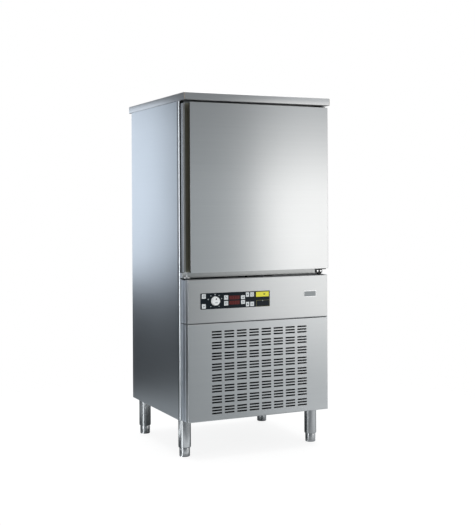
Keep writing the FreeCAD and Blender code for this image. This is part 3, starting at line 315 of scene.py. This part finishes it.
def rounded(points, radii, steps=8):
    """A closed outline with its corners rounded, as a list of points."""
    made = []
    count = len(points)
    for i, (corner, radius) in enumerate(zip(points, radii)):
        corner = Vector(corner)
        if not radius:
            made.append(corner)
            continue
        back = (Vector(points[i - 1]) - corner).normalized()
        ahead = (Vector(points[(i + 1) % count]) - corner).normalized()
        half = back.angle(ahead) / 2
        middle = corner + (back + ahead).normalized() * (radius / math.sin(half))
        first = corner + back * (radius / math.tan(half)) - middle
        last = corner + ahead * (radius / math.tan(half)) - middle
        sweep = first.angle(last)
        for step in range(steps + 1):
            t = step / steps
            swung = first * math.sin((1 - t) * sweep) + last * math.sin(t * sweep)
            made.append(middle + swung / math.sin(sweep))
    return made


def finish_mesh(name, made, angle=32):
    """A mesh object with smooth curves and sharp folds."""
    bmesh.ops.recalc_face_normals(made, faces=made.faces[:])
    data = bpy.data.meshes.new(name)
    made.to_mesh(data)
    made.free()
    data.shade_smooth()
    data.set_sharp_from_angle(angle=math.radians(angle))
    return link(name, data)


def prism(made, outline, z0, z1, to_world=lambda x, y, z: (x, y, z)):
    """Adds a closed outline, run from z0 to z1, to a mesh."""
    low = [made.verts.new(to_world(x, y, z0)) for x, y in outline]
    high = [made.verts.new(to_world(x, y, z1)) for x, y in outline]
    made.faces.new(low)
    made.faces.new(high)
    for i in range(len(low)):
        j = (i + 1) % len(low)
        made.faces.new((low[i], low[j], high[j], high[i]))


def dress(piece, material, body, slot, *replaced):
    """Gives a piece its finish and its body, and hides the solids it stands for. slot is not used."""
    piece.data.materials.clear()
    piece.data.materials.append(material)
    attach(piece, body)
    if replaced:
        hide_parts(*replaced)
    return piece


def soft_block(name, low, high, edges, steps=4):
    """A block whose edges are bevelled by axis: edges gives (axis, radius) in order."""
    made = bmesh.new()
    bmesh.ops.create_cube(made, size=1.0)
    for vert in made.verts:
        vert.co = Vector(low[i] if vert.co[i] < 0 else high[i] for i in range(3))
    for pick, radius in edges:
        chosen = [edge for edge in made.edges if pick(edge)]
        bmesh.ops.bevel(made, geom=chosen, offset=radius, segments=steps, profile=0.5, affect="EDGES")
    return finish_mesh(name, made)


def along(axis):
    """True for the long edges that run along an axis."""
    def pick(edge):
        run = edge.verts[1].co - edge.verts[0].co
        return abs(run[axis]) > 0.99 * run.length
    return pick


def lying(axis, values, near_enough=1e-6):
    """True for the edges that lie at one of the places on an axis."""
    def pick(edge):
        one, two = [vert.co[axis] for vert in edge.verts]
        return abs(one - two) < near_enough and any(abs(one - value) < near_enough for value in values)
    return pick


top_low, top_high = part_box("worktop")
worktop = soft_block(
    "worktop_sheet", top_low, top_high,
    [(along(2), 0.005), (lying(2, (top_low.z, top_high.z)), 0.0025)],
)
# The front face and the top's front edge are painted about a quarter darker, as painted shade.
worktop_steel = steel("worktop_steel", (3.0, 420.0, 420.0), dark=lambda x, y, z: (y < -0.3655) * 0.24)
dress(worktop, worktop_steel, "cabinet", "satin_steel", "worktop")

# ------------------------------------------------------------------ side panels
# One stainless sheet on each side, from the legs to the worktop, rounded at the front corner and
# folded back across the cabinet's front. The grain runs level.
seam_z, seam_half = 0.616, 0.0018       # where the two front pans meet


def fold_shade_and_seam(x, y, z):
    """The fold across the front gets painted shade behind the door's edge and a dark seam line where
    the front pans meet; a band of the side just behind the front corner gets a painted dark reflection.
    """
    behind_door = (z > 0.8165) * (abs(x) < 0.3675)
    at_seam = (abs(z - seam_z) < seam_half) * (y < -0.2905)
    return (y < -0.2893) * (behind_door + at_seam) + (y > -0.2800) * (y < -0.2700) * 0.45


side_steel = steel("side_steel", tone=(0.58, 0.61, 0.64), roughness=0.30, dark=fold_shade_and_seam)
x_out, x_front, x_back = 0.373, 0.348, 0.358
thick = 0.001
for hand, side in (("left", -1), ("right", 1)):
    low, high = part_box("side_panel_" + hand)
    x_in, y_front, y_back = x_out - thick, low.y + thick, high.y - thick
    outline = rounded(
        [
            (x_front, low.y), (x_out, low.y), (x_out, high.y), (x_back, high.y),
            (x_back, y_back), (x_in, y_back), (x_in, y_front), (x_front, y_front),
        ],
        [0, 0.012, 0.0025, 0, 0, 0.0015, 0.011, 0], 12,
    )
    made = bmesh.new()
    prism(made, [(x * side, y) for x, y in outline], low.z, high.z)
    dress(
        finish_mesh("side_sheet_" + hand, made), side_steel, "cabinet", "satin_steel",
        "side_panel_" + hand,
    )

# ------------------------------------------------------------------ door skin
# The door's outer pan: one brushed sheet folded over the foam, with a small bend on all four front
# edges and a step behind them. The left edge leaves a full-height slot for the grip.
door_low, door_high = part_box("door_skin")
# Painted shade: the pan darkens upwards from 1.2 m and towards the right, and its rear band, behind the
# gasket, is painted near black as the gasket's shadow.
door_steel = steel(
    "door_steel", tone=(0.675, 0.685, 0.69), roughness=0.34, wave=0.0004,
    dark=lambda x, y, z: (z > 1.2) * (z - 1.2) * 0.6 + (x > 0.0) * x * 0.43 + (y > -0.3215),
)
front, rear, x_slot = 0.354, 0.366, -0.3212
y_face, y_step, y_rear_step, y_rear = -0.383, -0.356, -0.344, -0.317
y_lip, y_slot, y_slot_end = -0.371, -0.3718, -0.3432
made = bmesh.new()
prism(made, rounded(
    [
        (rear, y_rear), (rear, y_rear_step), (front, y_step), (front, y_face),
        (-front, y_face), (-front, y_lip), (-0.351, y_lip), (-0.351, y_slot),
        (x_slot, y_slot), (x_slot, y_slot_end), (-0.363, y_slot_end), (-0.363, y_rear_step),
        (-rear, y_rear_step), (-rear, y_rear),
    ],
    [0, 0.0015, 0.0015, 0.004, 0.0012, 0.0015, 0, 0, 0, 0, 0, 0, 0.0015, 0], 6,
), door_low.z, door_high.z)
at_ends = lying(2, (door_low.z, door_high.z))
y_bevelled, x_grip, y_grip = -0.3571, -0.3210, -0.3790


def bends(edge):
    """True for the end edges of the front pan, apart from those at the grip's slot."""
    return at_ends(edge) and all(
        vert.co.y < y_bevelled and not (vert.co.x < x_grip and vert.co.y > y_grip)
        for vert in edge.verts
    )


outer = [edge for edge in made.edges if bends(edge)]
bmesh.ops.bevel(made, geom=outer, offset=0.0016, segments=4, profile=0.5, affect="EDGES")
dress(finish_mesh("door_pan", made), door_steel, "door", "satin_steel", "door_skin")

# ------------------------------------------------------------------ door gasket
# A magnetic seal of dark vinyl: a foot clipped on the inner pan, a bellows and a magnet head. It
# is welded from four lengths and stays with the door.
def plain(name, colour, roughness, metallic=0.0, spots=40.0, vary=0.12, depth=0.00004, **more):
    """A finish with a fine texture: colour and roughness vary a little over it."""
    coat = paint(name)
    mottle = coat.noise((spots, spots, spots), 3.0, 0.6)
    grit = coat.noise((spots * 14, spots * 14, spots * 14), 2.0, 0.6)
    low = tuple(value * (1 - vary) for value in colour)
    high = tuple(min(1.0, value * (1 + vary)) for value in colour)
    return coat.surface(
        Base_Color=coat.blend(mottle, low, high), Metallic=metallic,
        Roughness=coat.limit(mottle * 0.10 + grit * 0.06 + (roughness - 0.08), 0.03, 1.0),
        Normal=coat.bump(grit, depth, 0.4), **more,
    )


def ring_sweep(name, profile, half, z0, z1, corner, steps=8):
    """A profile of (inward, y) points, run round an upright rounded rectangle."""
    made = bmesh.new()
    path = []
    for sx, sz, start in ((1, 1, 0), (-1, 1, 90), (-1, -1, 180), (1, -1, 270)):
        centre = Vector((sx * (half - corner), (z1 - corner) if sz > 0 else (z0 + corner)))
        for step in range(steps + 1):
            turn = math.radians(start + 90 * step / steps)
            out = Vector((math.cos(turn), math.sin(turn)))
            path.append((centre + out * corner, out))
    rings = [
        [made.verts.new((at.x - out.x * u, y, at.y - out.y * u)) for u, y in profile] for at, out in path
    ]
    for one, two in zip(rings, rings[1:] + rings[:1]):
        for i in range(len(profile)):
            j = (i + 1) % len(profile)
            made.faces.new((one[i], one[j], two[j], two[i]))
    return finish_mesh(name, made)


low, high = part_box("door_gasket")
y0, y1 = low.y, high.y
seal = ring_sweep("gasket_bellows", [
    (0.0, y0), (0.0, y0 + 0.0025), (0.0012, y0 + 0.0040), (0.0050, y0 + 0.0050), (0.0034, y0 + 0.0062),
    (0.0050, y0 + 0.0074), (0.0038, y1 - 0.0028), (0.0040, y1 - 0.0005), (0.0048, y1), (0.0132, y1),
    (0.0140, y1 - 0.0005), (0.0142, y1 - 0.0028), (0.0130, y0 + 0.0074), (0.0146, y0 + 0.0062),
    (0.0130, y0 + 0.0050), (0.0168, y0 + 0.0040), (0.0180, y0 + 0.0025), (0.0180, y0),
], high.x, low.z, high.z, 0.014)
dress(seal, plain("dark_vinyl", (0.040, 0.041, 0.043), 0.62, 0.0, 220.0), "door", "gasket_pvc", "door_gasket")

# ------------------------------------------------------------------ grip edging
# The lips of the moulded grip. Each one laps over a cut edge of the door's pan, beside the channel.
# The front lip is coloured near black, as painted shade in the recess; the rear lip is grey.
edging = bmesh.new()
lip_low, lip_high = 0.8495, 1.6085
for x_near, x_far, y_near, y_far in (
    (-0.3660, -0.3665, -0.3310, -0.3440), (-0.3540, -0.3545, -0.3705, -0.3818),
):
    outline = [(x_near, y_near), (x_far, y_near), (x_far, y_far), (x_near, y_far)]
    prism(edging, outline, lip_low, lip_high)
lip = paint("grip_lips")
lip_y = lip.xyz()[1]
mottle = lip.noise((60.0, 60.0, 60.0), 3.0, 0.6)
rear_lip = lip.blend(mottle, (0.155, 0.155, 0.145), (0.185, 0.185, 0.175))
lip.surface(
    Base_Color=lip.blend(lip_y < -0.357, rear_lip, (0.030, 0.030, 0.026)),
    Roughness=lip.limit(mottle * 0.1 + 0.45), Specular_IOR_Level=0.2,
)
dress(finish_mesh("grip_lips", edging), lip.owner, "door", "dark_plastic")

# ------------------------------------------------------------------ display film
# A printed polyester film, glued on the control panel: near black, with small white marks round
# the knob, a yellow field with a green spot, and a framed field with a white lamp near its top.
film_x, film_z, film_y = -0.1245, 0.71675, -0.3625


def disc(x, z, radius, steps=20, squash=1.0):
    return [
        (x + radius * math.cos(math.tau * i / steps), z + radius * squash * math.sin(math.tau * i / steps))
        for i in range(steps)
    ]


def bar(x, z, width, tall, turn=0.0):
    """A strip with its middle at x, z, turned by degrees."""
    c, s = math.cos(math.radians(turn)), math.sin(math.radians(turn))
    corners = [(-width / 2, -tall / 2), (width / 2, -tall / 2), (width / 2, tall / 2), (-width / 2, tall / 2)]
    return [(x + u * c - v * s, z + u * s + v * c) for u, v in corners]


def arc(x, z, radius, width, start, end, steps=16):
    """A part of a ring, from one angle to another in degrees."""
    turns = [math.radians(start + (end - start) * i / steps) for i in range(steps + 1)]
    outside, inside = [
        [(x + reach * math.cos(t), z + reach * math.sin(t)) for t in turns]
        for reach in (radius + width / 2, radius - width / 2)
    ]
    return outside + inside[::-1]


def star(x, z, radius, arms, width):
    """Crossing strips."""
    return [bar(x, z, 2 * radius, width, 180 * i / arms) for i in range(arms)]


def frame_of(x, z, width, tall, line):
    """Four strips round a field."""
    out, up, upright = (width - line) / 2, (tall - line) / 2, tall - 2 * line
    return [
        bar(x, z + up, width, line), bar(x, z - up, width, line),
        bar(x - out, z, line, upright), bar(x + out, z, line, upright),
    ]


def printed(name, shapes, material, body="cabinet", slot="overlay_film", y=film_y, thick=0.00006):
    """Ink on the film: outlines in millimetres from the film's middle, a hair proud of it."""
    made = bmesh.new()
    layer = 0.000002            # keeps strokes that cross apart
    for i, outline in enumerate(shapes):
        lift = thick + layer * (i % 3)
        placed = [(film_x + u / 1000, film_z + v / 1000) for u, v in outline]
        prism(made, placed, y, y - lift, lambda x, z, depth: (x, depth, z))
    return dress(finish_mesh(name, made), material, body, slot)


knob_x = -103.1
marks = star(knob_x - 34, 8.5, 3.3, 3, 1.3)
marks += star(knob_x - 20.6, 23.7, 2.8, 2, 1.3) + [disc(knob_x - 20.6, 23.7, 1.6)]
marks += [arc(knob_x, 28.8, 2.2, 1.1, 0, 360, 24), disc(knob_x, 28.8, 1.0)]
marks += [bar(knob_x + 19.5, 23.4, 3.6, 3.6, 45)]
marks += [arc(knob_x + 32.3, 9.2, 2.1, 1.1, 0, 360, 24)]
marks += [bar(knob_x - 21.4, -24.5 + step, 5.6, 1.0, 20) for step in (-1.6, 0.8)]
marks += [bar(knob_x + 19.2, -24.2 + step, 5.6, 1.0, -20) for step in (-1.6, 0.8)]
white_ink = plain("white_ink", (0.62, 0.68, 0.69), 0.45, 0.0, 400.0)
printed("film_marks", marks, white_ink)
yellow_ink = plain("yellow_ink", (0.95, 0.86, 0.05), 0.4, 0.0, 60.0)
printed("yellow_field", [bar(136.2, 21.0, 65.6, 22.6)], yellow_ink)
green_ink = plain("green_ink", (0.05, 0.09, 0.02), 0.4)
printed("green_spot", [disc(146.2, 20.9, 5.2, 24, 0.62)], green_ink, y=film_y - 0.00007)
olive_lines = frame_of(138.4, -20.9, 68.0, 29.0, 1.4) + [bar(171.8, 16.5, 1.0, 46.0)]
printed("framed_field", olive_lines, plain("olive_ink", (0.17, 0.16, 0.04), 0.4))
printed("white_lamp", [disc(137.2, -8.6, 2.1)], white_ink)

# ------------------------------------------------------------------ display windows
# Two red lenses, each over a row of unlit figures that show only as a faint lighter red.
segments = [
    (0, 6.0, 3.6, 1.0), (0, 0, 3.6, 1.0), (0, -6.0, 3.6, 1.0),
    (-2.5, 3.0, 1.0, 4.6), (2.5, 3.0, 1.0, 4.6), (-2.5, -3.0, 1.0, 4.6), (2.5, -3.0, 1.0, 4.6),
]
windows_x, window_z, figure_pitch = -6.6, 11.4, 12.2
figures = [
    bar(windows_x + (column - 1.5) * figure_pitch + u, row * window_z + v, width, tall)
    for row in (-1, 1) for column in range(4) for u, v, width, tall in segments
]
unlit = plain("unlit_figures", (0.15, 0.022, 0.020), 0.3, Specular_IOR_Level=0.25)
printed("window_figures", figures, unlit, slot="red_lens")

# ------------------------------------------------------------------ key legends
# Plain signs printed on the white keys: a clock, arrows, a start and a stop sign and the like.
# Each one moves with its key.
legend_ink = plain("grey_ink", (0.16, 0.19, 0.20), 0.5, 0.0, 400.0)
signs = {
    "far_left_upper": [arc(0, 0, 4.6, 1.5, 0, 360, 24), bar(0, 1.4, 1.3, 4.0), bar(1.2, 0, 3.2, 1.3)],
    "far_left_lower": star(0, 0, 4.8, 3, 1.5),
    "left_upper": [bar(0.6, 0.4, 10.0, 2.0, -45), disc(-2.8, 3.4, 2.2)],
    "left_lower": frame_of(0, 0, 9.0, 9.0, 1.5),
    "middle_upper": [[(-4.6, -2.6), (4.6, -2.6), (0, 4.2)]],
    "middle_lower": [[(-4.6, 2.6), (0, -4.2), (4.6, 2.6)]],
    "right_upper": [[(-3.0, -4.4), (4.4, 0), (-3.0, 4.4)]],
    "right_lower": [bar(0, 0, 7.0, 7.0)],
    "far_right_upper": [arc(0, -0.5, 4.2, 1.5, 125, 415, 20), bar(0, 2.8, 1.5, 4.6)],
    "far_right_lower": star(0, 0, 4.6, 2, 1.8),
}
for key, shapes in signs.items():
    low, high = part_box("key_" + key)
    u, v = ((low.x + high.x) / 2 - film_x) * 1000, ((low.z + high.z) / 2 - film_z) * 1000
    printed(
        "legend_" + key, [[(x + u, z + v) for x, z in outline] for outline in shapes], legend_ink,
        "key_" + key, "key_plastic", y=low.y,
    )

# ------------------------------------------------------------------ selector knob
# A white moulded knob with a tapered, finely fluted side and a shallow dish in its face. A black
# index dot is inlaid near the top, over a printed turning sign.
def turned_piece(name, profile, centre, axis, steps, flute=0.0, flutes=0, fluted_beyond=0.0178):
    """A solid turned about an axis: profile is (radius, distance along the axis)."""
    made = bmesh.new()
    side = Vector((1, 0, 0))
    up = axis.cross(side)
    rings = []
    for radius, reach in profile:
        if radius == 0:
            rings.append([made.verts.new(centre + axis * reach)])
            continue
        ring = []
        for i in range(steps):
            turn = math.tau * i / steps
            wide = radius
            if flutes and radius > fluted_beyond:
                wide = radius - flute * (0.5 + 0.5 * math.cos(turn * flutes))
            spoke = side * math.cos(turn) + up * math.sin(turn)
            ring.append(made.verts.new(centre + axis * reach + spoke * wide))
        rings.append(ring)
    for one, two in zip(rings, rings[1:]):
        for i in range(steps):
            j = (i + 1) % steps
            corners = [one[i % len(one)], one[j % len(one)], two[j % len(two)], two[i % len(two)]]
            made.faces.new(list(dict.fromkeys(corners)))
    return finish_mesh(name, made)


forward = Vector((0, -1, 0))
knob_seat = Vector((film_x + knob_x / 1000, -0.3630, film_z))
knob = turned_piece("knob", [
    (0, -0.016), (0.003, -0.016), (0.003, 0.0), (0.0203, 0.0), (0.0205, 0.0004), (0.0205, 0.0026),
    (0.0202, 0.0030), (0.0190, 0.0032), (0.0188, 0.0128), (0.0184, 0.0136), (0.0178, 0.0140),
    (0.0172, 0.0140), (0.0165, 0.0138), (0.0158, 0.0134), (0.0156, 0.0132), (0.0, 0.0132),
], knob_seat, forward, 192, 0.00035, 32)
white_moulding = plain("white_moulding", (0.93, 0.95, 0.95), 0.34, 0.0, 30.0, 0.03, 0.00002)
dress(knob, white_moulding, "knob", "knob_plastic", "selector_knob")
face_y = knob_seat.y - 0.01325
black_inlay = plain("black_inlay", (0.02, 0.02, 0.022), 0.35)
printed("knob_index", [disc(knob_x, 9.2, 3.1, 24)], black_inlay, "knob", "knob_plastic", face_y)
turning_sign = [arc(knob_x, -1.5, 7.2, 1.6, start, start + 62) for start in (200, 278)]
turning_sign.append(bar(knob_x, -6.0, 1.8, 6.5, -28))
printed("knob_sign", turning_sign, legend_ink, "knob", "knob_plastic", face_y)

# ------------------------------------------------------------------ bare plate
# A small blank plate at the right of the control panel: a bright rim round a grey field. It bears
# no print.
plate = soft_block(
    "blank_plate", Vector((0.2305, -0.3620, 0.7150)), Vector((0.2975, -0.3610, 0.7435)),
    [(along(1), 0.003)],
)
dress(plate, steel("plate_rim", (60.0, 60.0, 300.0), (0.70, 0.71, 0.72), 0.26), "cabinet", "satin_steel")
field = soft_block(
    "blank_plate_field", Vector((0.2328, -0.3622, 0.7173)), Vector((0.2952, -0.3610, 0.7412)),
    [(along(1), 0.0015)],
)
dress(field, plain("grey_enamel", (0.28, 0.30, 0.31), 0.35, 0.4, 80.0), "cabinet", "satin_steel")

# ------------------------------------------------------------------ legs and feet
# Four tubes of polished stainless steel, each under a square plate, with its lower end drawn in.
# A cup-shaped foot with a groove near its rim screws up into each.
leg_steel = steel("leg_steel", (30.0, 30.0, 700.0), (0.45, 0.46, 0.47), 0.24, 0.0001, 0.2)
lathe = Vector((0, 0, 1))
bore, tube_low, tube_high, plate_high, plate_half = 0.0081, 0.041, 0.1748, 0.178, 0.04
parts = []
for x, y in leg_spots.values():
    parts.append(turned_piece("leg", [
        (bore, tube_low), (0.0262, tube_low), (0.0268, 0.0413), (0.0275, 0.0422), (0.0287, 0.0446),
        (0.0290, 0.0462), (0.0290, tube_high), (bore, tube_high),
    ], Vector((x, y, 0)), lathe, 96))
    parts.append(soft_block(
        "leg_plate", Vector((x - plate_half, y - plate_half, tube_high)),
        Vector((x + plate_half, y + plate_half, plate_high)), [(along(2), 0.004)],
    ))
made = bmesh.new()
for part in parts:
    made.from_mesh(part.data)
    bpy.data.objects.remove(part)
dress(finish_mesh("legs", made), leg_steel, "cabinet", "polished_steel", "leg_tubes")
screw, screw_high = 0.008, 0.151
for spot, (x, y) in leg_spots.items():
    foot = turned_piece("screw_foot_" + spot, [
        (0, 0.0), (0.0205, 0.0), (0.0226, 0.0006), (0.0240, 0.0022), (0.0245, 0.0045),
        (0.0245, 0.0105), (0.0237, 0.0112), (0.0237, 0.0124), (0.0245, 0.0131), (0.0245, 0.0385),
        (0.0241, 0.0398), (0.0230, 0.0407), (screw, 0.0407), (screw, screw_high), (0, screw_high),
    ], Vector((x, y, 0)), lathe, 96)
    dress(foot, leg_steel, "foot_" + spot, "polished_steel", "foot_" + spot)

# ------------------------------------------------------------------ carried solids
# Every solid that stays as it is gets the finish of the real piece: stainless, galvanised or
# painted steel, aluminium fins, copper, moulded plastic, vinyl, foam and board. The hinge brackets
# are near black, and the front frame, posts, control and grille panels carry painted shade.
finishes = {
    "satin_steel": steel("front_steel"),
    "plain_steel": steel("liner_steel", roughness=0.34),
    "galvanised": plain("galvanised_sheet", (0.52, 0.54, 0.55), 0.42, 1.0, 60.0, 0.18),
    "black_steel": plain("black_enamel", (0.020, 0.020, 0.021), 0.36, 0.0, 30.0),
    "polished_steel": steel("polished_steel", (60.0, 60.0, 500.0), (0.66, 0.67, 0.68), 0.20, 0.0002, 0.3),
    "foam": plain("rigid_foam", (0.80, 0.70, 0.45), 0.9, 0.0, 300.0, 0.1, 0.0003),
    "board": plain("core_board", (0.42, 0.30, 0.18), 0.8, 0.0, 120.0, 0.25, 0.0002),
    "grey_plastic": plain("grey_moulding", (0.26, 0.27, 0.28), 0.5),
    "dark_plastic": plain("dark_moulding", (0.030, 0.027, 0.022), 0.42),
    "overlay_film": plain("printed_film", (0.006, 0.011, 0.016), 0.20, Specular_IOR_Level=0.14),
    "red_lens": plain("red_lens", (0.095, 0.010, 0.010), 0.14, Specular_IOR_Level=0.25),
    "key_plastic": plain("white_keys", (0.78, 0.82, 0.83), 0.4),
    "knob_plastic": plain("white_knob", (0.93, 0.95, 0.95), 0.35),
    "gasket_pvc": plain("gasket_pvc", (0.035, 0.035, 0.036), 0.6, 0.0, 200.0),
    "fins": plain("aluminium_fins", (0.72, 0.73, 0.74), 0.35, 1.0, 90.0),
    "copper": plain("copper_tube", (0.78, 0.42, 0.28), 0.30, 1.0, 70.0, 0.15),
    "fan_plastic": plain("black_impeller", (0.022, 0.022, 0.024), 0.4),
}
slot_of = {part["node"]: part["material_slot"] for part in frame["record"]["subparts"]}
own_finish = {
    "door_grip": plain("grip_channel", (0.30, 0.29, 0.235), 0.42, 0.85, 60.0, 0.1),
    # The hinge brackets are coloured near black.
    "hinge_bracket_lower": plain("near_black_hinge", (0.035, 0.036, 0.038), 0.5, 0.3, 60.0),
    "condenser_coil": plain("black_fins", (0.005, 0.005, 0.0055), 0.7, 0.0, 90.0, Specular_IOR_Level=0.1),
    # Painted shade: the control and grille panels darken towards their left ends.
    "control_panel": steel("control_steel", tone=(0.545, 0.555, 0.56), dark=lambda x, y, z: x * -0.5),
    "grille_panel": steel("grille_steel", tone=(0.515, 0.53, 0.54), dark=lambda x, y, z: x * -0.2),
    # The frame strip under the door is a darker copy of the steel, as painted shade, and its top band next to
    # the door is painted half dark as the door's shadow.
    "front_frame": steel("frame_steel", tone=(0.42, 0.43, 0.43), dark=lambda x, y, z: (z > 0.8415) * 0.5),
    # The posts have a dark seam line where the pans meet and are painted dark above 0.8125 m, as shade under
    # the door.
    "front_posts": steel(
        "post_steel", tone=(0.52, 0.55, 0.60),
        dark=lambda x, y, z: (abs(z - seam_z) < seam_half) + (z > 0.8125),
    ),
}
own_finish["hinge_bracket_upper"] = own_finish["hinge_bracket_lower"]
own_finish["door_liner"] = steel("inner_door_steel", tone=(0.42, 0.425, 0.43), roughness=0.36)
own_finish["fan_guards"] = steel("guard_steel", (60.0, 60.0, 60.0), (0.36, 0.365, 0.37), 0.34)
sleeved = paint("sleeved_copper")
pipe_height = sleeved.xyz()[2]
tarnish = sleeved.noise((70.0, 70.0, 70.0), 3.0, 0.6)
bare_copper = sleeved.blend(tarnish, (0.66, 0.36, 0.24), (0.86, 0.47, 0.31))
sleeve_from = 0.60
in_sleeve = pipe_height > sleeve_from
own_finish["refrigerant_pipes"] = sleeved.surface(
    Base_Color=sleeved.blend(in_sleeve, bare_copper, (0.012, 0.012, 0.013)),
    Metallic=1.0 - in_sleeve, Roughness=in_sleeve * 0.5 + 0.32,
)
for name, piece in nodes.items():
    piece.data.materials.clear()
    piece.data.materials.append(own_finish.get(name, finishes[slot_of[name]]))
